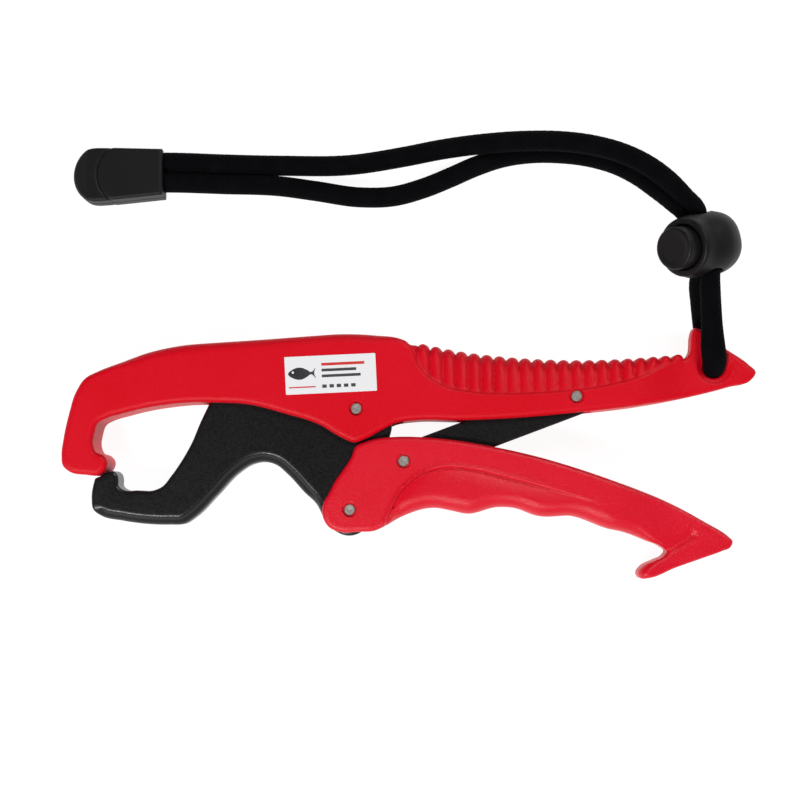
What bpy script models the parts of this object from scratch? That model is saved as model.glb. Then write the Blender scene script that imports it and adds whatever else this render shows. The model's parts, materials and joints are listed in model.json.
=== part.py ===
"""Locking lip grip for fishing, with a cord lanyard, lying on its side.

The upper body is one moulding: hooked upper jaw, hollow head, ribbed handle and tail fin.
The lower jaw swings on the jaw pivot, the lower handle swings on the lower jaw, and a
toggle link joins the handle to the tail half of the body, so that closing the handle
pushes the linkage over centre and locks the jaws.

Lengths are millimetres measured from the jaw pivot: X along the tool toward the tail,
Y toward its top edge, Z through its thickness, with Z = 0 on the surface it lies on.
The tool is then centred over the origin.
"""
import math

import bmesh
import bpy
from mathutils import Matrix, Vector

MM = 0.001

# ---- driving dimensions, mm -------------------------------------------------------
THICK = 20.0                     # body and handle, side to side
CHANNEL = 14.6                   # hollow of the body and of the handle, side to side
INNER = 14.0                     # lower jaw and toggle link, side to side
PIN_DIAMETER = 4.0
PIN_HOLE = 4.6                   # hole that a pin turns or sits in
PIN_RECESS = 0.15                # pin ends below the side faces
JAW_PIVOT = (0.0, 0.0)
HANDLE_PIVOT = (-2.4, -36.5)
LINK_FRONT = (17.1, -18.9)
LINK_REAR = (79.5, 4.5)
LINK_TOP = 5.9                   # link edges above and below the line of its pivots
LINK_BOTTOM = 6.7
LINK_EYE = 6.3
SLOT_ENDS = (0.3, 7.0)           # clearance slot for the front link pin, along the link
SLOT_DROP = 0.32
SLOT_RADIUS = 2.95
JAW_LOBE = 9.0                   # round end of the lower jaw on the handle pivot
RIB_COUNT = 21
RIB_PITCH = 4.6
RIB_HEIGHT = 1.9
RIB_START = 24.5                 # crest of the first rib
RIB_LOW = (81.7, 17.9)           # lowest crest of the rib line, and its curvature
RIB_CURVE = 0.00172
SCOOP_DEPTH = 1.2                # thumb scoop below the ribs, on both sides
FIN_LOW, FIN_HIGH = 6.2, 13.8    # tail fin, thickness range
FIN_TAPER = (101.0, 124.0)       # the handle thins down to the fin over this length
FIN_HOLE = (130.5, 15.6)
FIN_HOLE_RADIUS = 4.0
FIN_HOLE_CHAMFER = 1.6
HOOK_LOW, HOOK_HIGH = 5.0, 15.0  # hooked tail of the lower handle, thickness range
HOOK_TAPER = (92.0, 118.0)
LABEL_SIZE = (33.0, 13.4, 0.4)
LABEL_CENTRE = (-9.2, 12.4)
LABEL_TILT = math.radians(2.7)
LABEL_SEAT = 19.6                # floor of the shallow label recess
LABEL_GAP = 0.3

CORD = 7.0                       # diameter of the lanyard cord
CORD_IN_LOCK = 5.2               # where the lock squeezes it
CORD_AT_FIN = 5.2                # where it bends flat round the fin
STRAND_SPACING = 5.6             # between the two strands in the lock

LOCK_CENTRE = (126.6, 59.9, 13.4)
LOCK_RADIUS = 13.3
LOCK_END = 11.6                  # half length of the lock along the cord
LOCK_BLUNT = 2.4                 # how square its shoulders are; 2 is a plain ball
LOCK_TILT = math.radians(14.0)   # cord axis of the lock, from +Y toward -X
BUTTON_RISE = math.radians(43.0) # button axis above the lying surface
BUTTON_RADIUS = 7.6
BUTTON_BORE = 7.95
BUTTON_FACE = 19.2               # along the button axis from the lock centre
BUTTON_FOOT = -2.0
BUTTON_TRAVEL = 3.0
CORD_SEAT = 3.0                  # cord axis along the button axis from the lock centre
PASSAGE_GAP = 1.5                # room round the strands in the barrel
BORE_FLOOR = -5.4
SPRING_POCKET = (4.2, -10.4)     # radius, floor
SPRING_RADIUS = 3.0
SPRING_WIRE = 0.35
SPRING_TURNS = 4
COLLAR = (10.4, 12.4, 13.4)      # radius at its end and at its root, end along the button axis

CAP_HEIGHT = 12.0
CAP_LOW = 0.1
CAP_SPLIT = (5.95, 6.25)         # joint plane between base and lid
CAP_CORD_Z = 6.1
CAP_CORD_Y = (91.5, 84.2)
CAP_SOCKET = (-79.0, 3.8)        # blind end of the cord sockets, radius

# cutters reach past what they cut
BEYOND = 5.0
PAST_TAIL = 160.0
LOCK_REACH = 20.0                # past the cord lock, along either of its axes
PAST_SOCKET = 20.0               # past the mouth of the cap's cord sockets
BODY_REACH = (-10.0, 50.0)       # plan range of the body's tail
HANDLE_REACH = (-70.0, -5.0)     # plan range of the handle

CORNER = "corner"

# ---- outlines: (x, y) on a smooth curve, (x, y, CORNER) at a corner ----------------
BODY_FRONT = [
    (3.8, -10.7), (-0.8, -12.2), (-5.0, -10.6), (-13.5, -5.7), (-25.3, -1.9),
    (-39.4, 1.6), (-51.6, 2.2), (-60.0, 2.2), (-68.6, 1.4), (-77.1, 0.0),
    (-84.7, -1.9), (-90.4, -3.6), (-93.2, -5.2), (-94.5, -8.6), (-94.9, -13.6),
    (-94.0, -15.7), (-91.4, -16.8), (-89.9, -18.8), (-90.7, -22.0), (-93.0, -23.9),
    (-98.0, -23.9), (-103.4, -22.9), (-106.0, -20.6), (-106.5, -17.0), (-105.8, -11.0),
    (-103.7, -1.5), (-101.3, 6.0), (-97.8, 11.1), (-93.2, 13.5), (-84.7, 16.9),
    (-76.2, 20.1), (-63.5, 22.9), (-50.8, 24.0), (-33.9, 25.1), (-16.6, 26.4),
    (-5.0, 27.1), (7.0, 26.6), (15.8, 25.3), (18.0, 24.4), (19.2, 23.3),
    (22.2, 23.0, CORNER),
]
BODY_TAIL = [
    (120.6, 19.3), (121.6, 21.0), (121.9, 23.4), (122.1, 26.8), (123.6, 29.9), (125.6, 29.2),
    (134.4, 22.4), (143.2, 16.3), (145.7, 13.6), (143.9, 10.7), (136.4, 8.4),
    (127.0, 5.9), (116.6, 3.6), (98.0, 0.6), (79.5, -1.4), (58.0, -3.3), (38.4, -4.2),
    (21.2, -4.2), (14.5, -5.2), (9.0, -7.9),
]
JAW = [
    (-95.2, -26.4), (-94.9, -25.4), (-92.5, -24.3), (-90.2, -22.8), (-88.2, -22.5),
    (-86.9, -23.5), (-86.3, -25.6), (-86.3, -27.8), (-84.6, -29.2), (-79.2, -29.5),
    (-73.6, -29.5), (-70.9, -28.4), (-67.0, -24.0), (-63.1, -18.3), (-59.6, -12.0),
    (-56.8, -5.3), (-54.0, 0.6), (-51.9, 5.0, CORNER), (-12.0, 5.0, CORNER),
    (-7.0, 7.2), (0.0, 9.0), (7.0, 6.5), (11.5, 0.0), (12.9, -6.0), (11.4, -11.5),
    (8.6, -17.0), (6.8, -26.0), (6.6, -36.5),
    (3.96, -42.86), (-2.4, -46.0),
    (-8.6, -43.6), (-12.2, -38.8), (-14.4, -34.7), (-19.0, -30.2), (-24.9, -23.8),
    (-29.5, -20.1), (-33.8, -19.1), (-37.8, -19.9), (-42.8, -23.0), (-50.7, -31.2),
    (-58.7, -39.2), (-62.4, -41.6), (-68.2, -42.0), (-76.8, -41.7), (-85.4, -40.5),
    (-92.8, -38.8), (-95.5, -36.5), (-96.1, -32.8),
]
HANDLE = [
    (-0.3, -13.7), (-1.7, -17.1), (-4.9, -22.1), (-7.6, -25.9), (-9.8, -30.1),
    (-12.0, -34.4), (-12.3, -38.2), (-9.9, -42.8), (-5.1, -44.7), (0.6, -44.5),
    (6.3, -44.2), (10.8, -42.2), (15.8, -39.4), (28.7, -35.9), (34.5, -36.9), (40.1, -38.0),
    (51.4, -35.6), (57.4, -35.9), (66.5, -38.9), (78.6, -38.9), (92.8, -43.7),
    (97.1, -44.6), (106.0, -47.9), (111.4, -50.2), (112.9, -51.7), (112.0, -53.3),
    (108.6, -55.0), (104.0, -57.3), (102.5, -59.6), (103.4, -61.5), (106.0, -61.4),
    (116.6, -57.5), (126.0, -54.2), (133.2, -51.6), (136.2, -50.2), (136.9, -47.8),
    (135.6, -46.5), (126.8, -41.0), (112.6, -33.5), (102.2, -29.3), (93.2, -26.1),
    (81.6, -22.1), (65.0, -17.2), (51.8, -14.2), (30.2, -10.8), (14.0, -10.2),
    (7.4, -10.8), (3.3, -12.0),
]
SCOOP = [
    (19.2, 40.0, CORNER), (19.2, 24.4, CORNER), (19.9, 20.3), (22.4, 14.8), (26.0, 10.9),
    (33.2, 7.2), (41.3, 5.6), (52.8, 4.9), (70.8, 5.6), (89.9, 7.8), (102.9, 11.3),
    (111.7, 15.3), (118.0, 19.0, CORNER), (118.0, 40.0, CORNER),
]
HEAD_POCKET = [
    (-55.4, -20.0), (-55.4, 5.7), (-13.0, 5.7), (-7.5, 9.0), (0.0, 10.2), (8.5, 8.0),
    (14.5, 1.0), (17.0, -3.0), (17.0, -20.0),
]
TAIL_POCKET = [
    (37.0, -20.0), (37.0, -2.7), (71.0, 9.6), (76.0, 11.4), (82.0, 11.6), (86.6, 8.4),
    (86.6, -20.0),
]
HANDLE_POCKET = [
    (-30.0, 0.0), (-30.0, -70.0), (4.6, -70.0), (4.6, -36.0), (7.2, -32.6), (24.6, -32.6),
    (27.0, -23.4), (66.0, -8.8), (66.0, 0.0),
]
CAP = [
    (-71.1, 78.7, CORNER), (-71.1, 95.5, CORNER), (-96.4, 96.2, CORNER), (-101.0, 94.0),
    (-103.8, 89.8), (-104.4, 86.1), (-103.8, 82.4), (-101.2, 78.3), (-97.4, 76.1, CORNER),
]

# ---- lanyard route: x, y, z, diameter ----------------------------------------------
UPPER_STRAND = [
    (-78.0, 91.5, 6.1, CORD), (-66.0, 91.5, 5.8, CORD), (-50.0, 91.3, 4.1, CORD),
    (-28.0, 90.9, 3.6, CORD), (-2.3, 91.2, 3.6, CORD), (17.7, 94.2, 3.9, CORD),
    (31.0, 96.5, 5.3, CORD), (47.0, 98.0, 8.3, CORD), (63.6, 98.6, 10.3, CORD),
    (74.6, 98.4, 10.5, CORD), (87.1, 96.8, 10.6, CORD), (97.0, 94.1, 10.6, CORD),
    (106.3, 89.6, 11.0, CORD), (113.8, 83.6, 12.4, CORD), (119.4, 77.3, 14.8, 6.5),
]
LOWER_STRAND = [
    (-78.0, 84.2, 6.1, CORD), (-66.0, 84.2, 5.8, CORD), (-50.0, 84.0, 4.1, CORD),
    (-28.6, 83.3, 3.6, CORD), (-15.3, 81.5, 3.6, CORD), (1.0, 79.2, 3.6, CORD),
    (13.6, 79.6, 3.6, CORD), (24.4, 82.5, 3.6, CORD), (34.4, 86.5, 3.6, CORD),
    (44.0, 90.7, 3.6, CORD), (54.0, 94.0, 3.6, CORD), (64.1, 95.5, 3.6, CORD),
    (75.2, 95.5, 3.6, CORD), (87.4, 93.9, 3.6, CORD), (96.9, 91.0, 3.6, CORD),
    (104.2, 86.9, 4.6, CORD), (110.4, 81.6, 7.4, CORD), (115.6, 75.9, 10.6, 6.3),
]
NEAR_DROP = [(128.0, 46.0, 17.5, 6.6), (128.3, 38.0, 17.4, 6.6), (128.7, 30.0, 17.2, 6.4),
             (129.6, 22.5, 17.0, 5.6)]
FAR_DROP = [(125.0, 46.0, 11.2, 6.6), (126.3, 40.0, 7.4, 6.6), (127.8, 33.0, 4.2, 6.4),
            (129.4, 25.0, 3.1, 5.6)]
FIN_BEND = (21.3, 10.0, 6.9)     # centre y, centre z and radius of the turn in the fin hole

CORD_POINTS_PER_MM = 1 / 11.0

RED = (0.66, 0.004, 0.012)
BLACK = (0.012, 0.011, 0.012)
CORD_BLACK = (0.004, 0.004, 0.005)
LOCK_BLACK = (0.018, 0.016, 0.017)
STEEL = (0.42, 0.40, 0.36)
WHITE = (0.88, 0.88, 0.90)


# ---- curves and outlines -----------------------------------------------------------
def tangent(before, here, after):
    """Direction of the smooth curve at a point, weighted toward the nearer neighbour."""
    a = (here - before)
    b = (after - here)
    return (a.normalized() * b.length + b.normalized() * a.length).normalized()


def smooth_run(a, ta, b, tb, steps):
    """Points from a up to but not including b, on the Hermite curve between them."""
    span = (b - a).length
    for k in range(steps):
        t = k / steps
        yield ((2 * t**3 - 3 * t**2 + 1) * a + (t**3 - 2 * t**2 + t) * span * ta
               + (3 * t**2 - 2 * t**3) * b + (t**3 - t**2) * span * tb)


def outline(points, turn=math.radians(24)):
    """Closed outline: smooth through its points, broken at the marked corners."""
    spots = [Vector(p[:2]) for p in points]
    sharp = [len(p) > 2 for p in points]
    count = len(spots)
    ring = []
    for i in range(count):
        j = (i + 1) % count
        a, b = spots[i], spots[j]
        ta = (b - a).normalized() if sharp[i] else tangent(spots[i - 1], a, b)
        tb = (b - a).normalized() if sharp[j] else tangent(a, b, spots[(j + 1) % count])
        steps = max(1, math.ceil(ta.angle(tb) / turn))
        ring.extend(smooth_run(a, ta, b, tb, steps))
    return ring


def circle(centre, radius, sides=32):
    return [Vector((centre[0] + radius * math.cos(2 * math.pi * k / sides),
                    centre[1] + radius * math.sin(2 * math.pi * k / sides)))
            for k in range(sides)]


def rib_line():
    """Top edge of the ribbed handle, four points a rib."""
    edge = []
    for k in range(RIB_COUNT * 4 + 1):
        x = RIB_START + RIB_PITCH * (k / 4 - 0.5)
        crest = RIB_LOW[1] + RIB_CURVE * (x - RIB_LOW[0]) ** 2
        edge.append((x, crest - RIB_HEIGHT * (1.0, 0.25, 0.0, 0.25)[k % 4], CORNER))
    return edge


# ---- mesh and object helpers -------------------------------------------------------
def material(name, colour, roughness, metallic=0.0):
    made = bpy.data.materials.new(name)
    made.use_nodes = True
    shader = made.node_tree.nodes["Principled BSDF"]
    shader.inputs["Base Color"].default_value = (*colour, 1.0)
    shader.inputs["Roughness"].default_value = roughness
    shader.inputs["Metallic"].default_value = metallic
    made.diffuse_color = (*colour, 1.0)
    return made


def add_object(name, bm, origin, finish=None, parent=None, smooth=None):
    """Object whose mesh is bm, given in mm from the jaw pivot, with its origin at origin."""
    bmesh.ops.translate(bm, verts=bm.verts, vec=-Vector(origin))
    bmesh.ops.scale(bm, verts=bm.verts, vec=(MM, MM, MM))
    bmesh.ops.recalc_face_normals(bm, faces=bm.faces)
    mesh = bpy.data.meshes.new(name)
    bm.to_mesh(mesh)
    bm.free()
    if smooth:
        mesh.shade_smooth()
        mesh.set_sharp_from_angle(angle=smooth)
    made = bpy.data.objects.new(name, mesh)
    bpy.context.scene.collection.objects.link(made)
    made.location = Vector(origin) * MM
    if parent:
        made.parent = parent
        made.location = (Vector(origin) - Vector(parent["centre"])) * MM
    if finish:
        mesh.materials.append(finish)
    return made


def pivot_empty(name, centre, parent=None):
    """Empty on a joint axis; everything that turns or slides there is parented to it."""
    empty = bpy.data.objects.new(name, None)
    bpy.context.scene.collection.objects.link(empty)
    empty["centre"] = [float(c) for c in centre]
    empty.location = Vector(centre) * MM
    if parent:
        empty.parent = parent
        empty.location = (Vector(centre) - Vector(parent["centre"])) * MM
    return empty


def slab(ring, low, high):
    """Flat plate of an outline between two heights."""
    bm = bmesh.new()
    base = bm.faces.new([bm.verts.new((p.x, p.y, low)) for p in ring])
    grown = bmesh.ops.extrude_face_region(bm, geom=[base])
    moved = [v for v in grown["geom"] if isinstance(v, bmesh.types.BMVert)]
    bmesh.ops.translate(bm, verts=moved, vec=(0, 0, high - low))
    return bm


def rod(centre, radius, low, high, sides=32):
    return slab(circle(centre, radius, sides), low, high)


def turned(profile, frame, sides=32):
    """Solid turned about the frame's third axis from (radius, height) points, bottom up."""
    bm = bmesh.new()
    rings = []
    for radius, height in profile:
        if radius == 0:
            rings.append([bm.verts.new(frame @ Vector((0, 0, height)))])
        else:
            rings.append([bm.verts.new(frame @ Vector((*(p * radius), height)))
                          for p in circle((0, 0), 1.0, sides)])
    for low, high in zip(rings, rings[1:]):
        for k in range(sides):
            j = (k + 1) % sides
            corners = [low[k % len(low)], low[j % len(low)],
                       high[j % len(high)], high[k % len(high)]]
            bm.faces.new(list(dict.fromkeys(corners)))
    return bm


def cut(target, bm, name, operation="DIFFERENCE"):
    """Boolean of target with a hidden tool mesh, given in mm from the jaw pivot."""
    tool = add_object(name, bm, target["centre"])
    tool.parent = target.parent
    tool.location = target.location
    tool.hide_render = True
    tool.hide_viewport = False
    tool.display_type = "WIRE"
    step = target.modifiers.new(name, "BOOLEAN")
    step.operation = operation
    step.object = tool
    return tool


def part(name, bm, finish, parent, origin=None, smooth=math.radians(35)):
    origin = parent["centre"] if origin is None else origin
    made = add_object(name, bm, origin, finish, parent, smooth)
    made["centre"] = [float(c) for c in origin]
    return made


# ---- the tool ----------------------------------------------------------------------
def wedge(taper, floor, skin, reach_y):
    """Block that thins a plate from its skin height to a floor height along the taper."""
    start, end = taper
    outer = skin + math.copysign(BEYOND, skin - floor)
    skin += math.copysign(0.1, skin - floor)
    profile = [(start, skin), (end, floor), (PAST_TAIL, floor), (PAST_TAIL, outer), (start, outer)]
    bm = bmesh.new()
    side = bm.faces.new([bm.verts.new((x, reach_y[0], z)) for x, z in profile])
    grown = bmesh.ops.extrude_face_region(bm, geom=[side])
    moved = [v for v in grown["geom"] if isinstance(v, bmesh.types.BMVert)]
    bmesh.ops.translate(bm, verts=moved, vec=(0, reach_y[1] - reach_y[0], 0))
    return bm


def make_upper_body(parent):
    ring = outline(BODY_FRONT + rib_line() + BODY_TAIL)
    body = part("upper_body", slab(ring, 0, THICK), MATERIALS["red_plastic"], parent)
    middle = THICK / 2
    low, high = middle - CHANNEL / 2, middle + CHANNEL / 2
    head = [Vector(p) for p in HEAD_POCKET]
    tail = [Vector(p) for p in TAIL_POCKET]
    cut(body, slab(head, low, high), "head_pocket")
    cut(body, slab(tail, low, high), "tail_pocket")
    cut(body, rod(JAW_PIVOT, PIN_HOLE / 2, -BEYOND, THICK + BEYOND), "jaw_pin_hole")
    cut(body, rod(LINK_REAR, PIN_HOLE / 2, -BEYOND, THICK + BEYOND), "link_pin_hole")
    scoop = outline(SCOOP)
    cut(body, slab(scoop, THICK - SCOOP_DEPTH, THICK + BEYOND), "scoop_near")
    cut(body, slab(scoop, -BEYOND, SCOOP_DEPTH), "scoop_far")
    cut(body, wedge(FIN_TAPER, FIN_LOW, 0, BODY_REACH), "fin_thinning_far")
    cut(body, wedge(FIN_TAPER, FIN_HIGH, THICK, BODY_REACH), "fin_thinning_near")
    frame = Matrix.Translation((*FIN_HOLE, 0))
    wide = FIN_HOLE_RADIUS + FIN_HOLE_CHAMFER
    under, over = -BEYOND, THICK + BEYOND
    profile = [(0, under), (wide, under), (wide, FIN_LOW), (FIN_HOLE_RADIUS, FIN_LOW + FIN_HOLE_CHAMFER),
               (FIN_HOLE_RADIUS, FIN_HIGH - FIN_HOLE_CHAMFER), (wide, FIN_HIGH), (wide, over), (0, over)]
    cut(body, turned(profile, frame, 24), "lanyard_hole")
    cut(body, label_plate(LABEL_GAP, LABEL_SEAT, THICK + BEYOND), "label_recess")
    return body


def label_plate(margin, low, high):
    half_x = LABEL_SIZE[0] / 2 + margin
    half_y = LABEL_SIZE[1] / 2 + margin
    turn = Matrix.Rotation(LABEL_TILT, 2)
    corners = [(-half_x, -half_y), (half_x, -half_y), (half_x, half_y), (-half_x, half_y)]
    ring = [turn @ Vector(c) + Vector(LABEL_CENTRE) for c in corners]
    return slab(ring, low, high)


def make_lower_jaw(parent):
    low = (THICK - INNER) / 2
    jaw = part("lower_jaw", slab(outline(JAW), low, low + INNER), MATERIALS["black_plastic"], parent)
    cut(jaw, rod(JAW_PIVOT, PIN_HOLE / 2, -BEYOND, THICK + BEYOND), "jaw_eye")
    cut(jaw, rod(HANDLE_PIVOT, PIN_HOLE / 2, -BEYOND, THICK + BEYOND), "lobe_eye")
    return jaw


def make_lower_handle(parent):
    handle = part("lower_handle", slab(outline(HANDLE), 0, THICK), MATERIALS["red_plastic"], parent)
    low = (THICK - CHANNEL) / 2
    channel = [Vector(p) for p in HANDLE_POCKET]
    cut(handle, slab(channel, low, low + CHANNEL), "handle_channel")
    cut(handle, rod(HANDLE_PIVOT, JAW_LOBE + 0.7, low, low + CHANNEL, 48), "lobe_room")
    cut(handle, wedge(HOOK_TAPER, HOOK_LOW, 0, HANDLE_REACH), "hook_thinning_far")
    cut(handle, wedge(HOOK_TAPER, HOOK_HIGH, THICK, HANDLE_REACH), "hook_thinning_near")
    cut(handle, rod(HANDLE_PIVOT, PIN_HOLE / 2, -BEYOND, THICK + BEYOND), "handle_pin_hole")
    cut(handle, rod(LINK_FRONT, PIN_HOLE / 2, -BEYOND, THICK + BEYOND), "link_pin_hole_front")
    return handle


def link_frame():
    """Plan axes of the link: X from its front pivot to its rear pivot."""
    along = Vector(LINK_REAR) - Vector(LINK_FRONT)
    return along.length, Matrix.Rotation(math.atan2(along.y, along.x), 2)


def link_ring(points):
    turn = link_frame()[1]
    return [turn @ Vector(p) + Vector(LINK_FRONT) for p in points]


def capsule(x0, x1, y, radius, sides=12):
    """Rounded bar: half circles about (x0, y) and (x1, y)."""
    ring = []
    for centre, start in ((x1, -0.5), (x0, 0.5)):
        for k in range(sides + 1):
            angle = math.pi * (start + k / sides)
            ring.append((centre + radius * math.cos(angle), y + radius * math.sin(angle)))
    return ring


def make_toggle_link(parent):
    length = link_frame()[0]
    drop = (LINK_TOP - LINK_BOTTOM) / 2
    bar = capsule(0, length, drop, LINK_EYE)
    low = (THICK - INNER) / 2
    link = part("toggle_link", slab(link_ring(bar), low, low + INNER), MATERIALS["black_plastic"], parent)
    slot = capsule(*SLOT_ENDS, -SLOT_DROP, SLOT_RADIUS)
    cut(link, slab(link_ring(slot), -BEYOND, THICK + BEYOND), "link_slot")
    cut(link, rod(LINK_REAR, PIN_HOLE / 2, -BEYOND, THICK + BEYOND), "link_rear_eye")
    return link


def make_pin(name, centre, parent):
    bm = rod(centre, PIN_DIAMETER / 2, PIN_RECESS, THICK - PIN_RECESS)
    return part(name, bm, MATERIALS["pin_steel"], parent, (*centre, 0))


def make_label(parent):
    bm = label_plate(0, LABEL_SEAT + LABEL_GAP, LABEL_SEAT + LABEL_GAP + LABEL_SIZE[2])
    return part("side_label", bm, MATERIALS["label_film"], parent)


# ---- the lanyard -------------------------------------------------------------------
def lock_frame():
    """Frame of the cord lock: Y along its cord axis, Z along its button axis."""
    cord = Vector((-math.sin(LOCK_TILT), math.cos(LOCK_TILT), 0))
    flat = Vector((-math.cos(LOCK_TILT), -math.sin(LOCK_TILT), 0))
    button = flat * math.cos(BUTTON_RISE) + Vector((0, 0, math.sin(BUTTON_RISE)))
    side = cord.cross(button)
    turn = Matrix((side, cord, button)).transposed().to_4x4()
    return Matrix.Translation(LOCK_CENTRE) @ turn


def cord_opening(half_width, low, high):
    """Rounded passage along the cord axis, between two heights on the button axis."""
    radius = min((high - low) / 2, half_width * 0.5)
    ring = []
    for sx, sz, start in ((1, 1, 0), (-1, 1, 1), (-1, -1, 2), (1, -1, 3)):
        centre_x = sx * (half_width - radius)
        centre_z = (high if sz > 0 else low) - sz * radius
        for k in range(5):
            angle = math.pi / 2 * (start + k / 4)
            ring.append((centre_x + radius * math.cos(angle), centre_z + radius * math.sin(angle)))
    frame = lock_frame()
    bm = bmesh.new()
    front = [bm.verts.new(frame @ Vector((x, -LOCK_REACH, z))) for x, z in ring]
    back = [bm.verts.new(frame @ Vector((x, LOCK_REACH, z))) for x, z in ring]
    bm.faces.new(front)
    bm.faces.new(back[::-1])
    count = len(ring)
    for k in range(count):
        j = (k + 1) % count
        bm.faces.new([front[k], back[k], back[j], front[j]])
    return bm


def make_barrel(parent):
    frame = lock_frame()
    steps = 16
    ball = []
    for k in range(steps + 1):
        height = -math.cos(math.pi * k / steps)
        radius = (1 - abs(height) ** LOCK_BLUNT) ** (1 / LOCK_BLUNT)
        ball.append((LOCK_RADIUS * radius, LOCK_END * height))
    along_cord = frame @ Matrix.Rotation(-math.pi / 2, 4, "X")
    barrel = part("cord_lock_barrel", turned(ball, along_cord), MATERIALS["lock_plastic"], parent)
    radius, root_radius, end = COLLAR
    collar = [(0, 0), (root_radius, 0), (radius, end - 1.2), (radius - 0.4, end - 0.4),
              (radius - 1.2, end), (0, end)]
    cut(barrel, turned(collar, frame), "lock_collar", "UNION")
    pocket_radius, pocket_floor = SPRING_POCKET
    bore = [(0, pocket_floor), (pocket_radius, pocket_floor), (pocket_radius, BORE_FLOOR),
            (BUTTON_BORE, BORE_FLOOR), (BUTTON_BORE, LOCK_REACH), (0, LOCK_REACH)]
    cut(barrel, turned(bore, frame), "button_bore")
    half = STRAND_SPACING / 2 + CORD_IN_LOCK / 2 + PASSAGE_GAP
    reach = CORD_IN_LOCK / 2 + PASSAGE_GAP
    cut(barrel, cord_opening(half, CORD_SEAT - reach, CORD_SEAT + reach), "cord_passage")
    return barrel


def make_button(parent):
    frame = lock_frame()
    face = BUTTON_FACE
    radius = BUTTON_RADIUS
    profile = [(0, BUTTON_FOOT), (radius, BUTTON_FOOT), (radius, face - 1.0),
               (radius - 0.3, face - 0.3), (radius - 1.0, face), (0, face)]
    button = part("cord_lock_button", turned(profile, frame), MATERIALS["lock_plastic"], parent)
    half = STRAND_SPACING / 2 + CORD_IN_LOCK / 2 + 0.3
    reach = CORD_IN_LOCK / 2 + 0.35
    top = CORD_SEAT + reach + BUTTON_TRAVEL
    cut(button, cord_opening(half, CORD_SEAT - reach, top), "cord_window")
    return button


def tube(name, route, finish, parent, sides_resolution=2):
    """Round solid along (x, y, z, diameter) points, with filled ends."""
    data = bpy.data.curves.new(name, "CURVE")
    data.dimensions = "3D"
    thickest = max(p[3] for p in route)
    data.bevel_depth = thickest / 2 * MM
    data.bevel_resolution = sides_resolution
    data.use_fill_caps = True
    line = data.splines.new("POLY")
    line.points.add(len(route) - 1)
    for spot, (x, y, z, diameter) in zip(line.points, route):
        spot.co = (*((Vector((x, y, z)) - Vector(parent["centre"])) * MM), 1)
        spot.radius = diameter / thickest
    data.materials.append(finish)
    made = bpy.data.objects.new(name, data)
    bpy.context.scene.collection.objects.link(made)
    made.parent = parent
    return made


def make_spring(parent):
    frame = lock_frame()
    low = SPRING_POCKET[1] + 0.3 + SPRING_WIRE
    high = BUTTON_FOOT - 0.3 - SPRING_WIRE
    steps = SPRING_TURNS * 12
    route = []
    for k in range(steps + 1):
        angle = 2 * math.pi * k / 12
        height = low + (high - low) * k / steps
        spot = frame @ Vector((SPRING_RADIUS * math.cos(angle), SPRING_RADIUS * math.sin(angle), height))
        route.append((*spot, SPRING_WIRE * 2))
    return tube("cord_lock_spring", route, MATERIALS["spring_steel"], parent, 1)


def lock_points(side):
    """Straight run of one strand through the lock; side is +1 or -1 across the button axis."""
    frame = lock_frame()
    spots = []
    for along, diameter in ((12.6, 5.7), (6.5, CORD_IN_LOCK), (-4.5, CORD_IN_LOCK), (-9.0, 5.3)):
        spot = frame @ Vector((side * STRAND_SPACING / 2, along, CORD_SEAT))
        spots.append((*spot, diameter))
    return spots


def fin_turn():
    """Half turn through the fin hole, from above the fin to below it."""
    centre_y, centre_z, radius = FIN_BEND
    spots = []
    for k in range(1, 6):
        angle = math.pi * (0.5 + k / 6)
        spots.append((FIN_HOLE[0], centre_y + radius * math.cos(angle),
                      centre_z + radius * math.sin(angle), CORD_AT_FIN))
    return spots


def smooth_route(points):
    """The cord's route, read from a smooth curve through its points."""
    spots = [Vector(p) for p in points]
    made = []
    last = len(spots) - 1
    for i in range(last):
        a, b = spots[i], spots[i + 1]
        before = spots[i - 1] if i else a - (b - a)
        after = spots[i + 2] if i + 1 < last else b + (b - a)
        ta, tb = tangent(before, a, b), tangent(a, b, after)
        steps = max(1, round((b - a).length * CORD_POINTS_PER_MM))
        made.extend(smooth_run(a, ta, b, tb, steps))
    made.append(spots[-1])
    return [tuple(p) for p in made]


def make_cord(parent):
    near = 1 if (lock_frame().to_3x3() @ Vector((1, 0, 0))).z > 0 else -1
    points = UPPER_STRAND + lock_points(near) + NEAR_DROP + fin_turn()
    points += FAR_DROP[::-1] + lock_points(-near)[::-1] + LOWER_STRAND[::-1]
    return tube("lanyard_cord", smooth_route(points), MATERIALS["cord_braid"], parent)


def make_cap_half(name, low, high, parent):
    ring = outline(CAP)
    half = part(name, slab(ring, low, high), MATERIALS["cap_plastic"], parent)
    edge = half.modifiers.new("edge_round", "BEVEL")
    edge.width = 1.2 * MM
    edge.segments = 2
    edge.limit_method = "ANGLE"
    edge.angle_limit = math.radians(40)
    blind_end, radius = CAP_SOCKET
    for k, y in enumerate(CAP_CORD_Y):
        axis = Matrix.Translation((blind_end, y, CAP_CORD_Z)) @ Matrix.Rotation(math.pi / 2, 4, "Y")
        bore = [(0, 0), (radius, 0), (radius, PAST_SOCKET), (0, PAST_SOCKET)]
        cut(half, turned(bore, axis, 24), f"{name}_socket_{k}")
    return half


# ---- build -------------------------------------------------------------------------
for old in list(bpy.data.objects):
    bpy.data.objects.remove(old, do_unlink=True)

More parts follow.
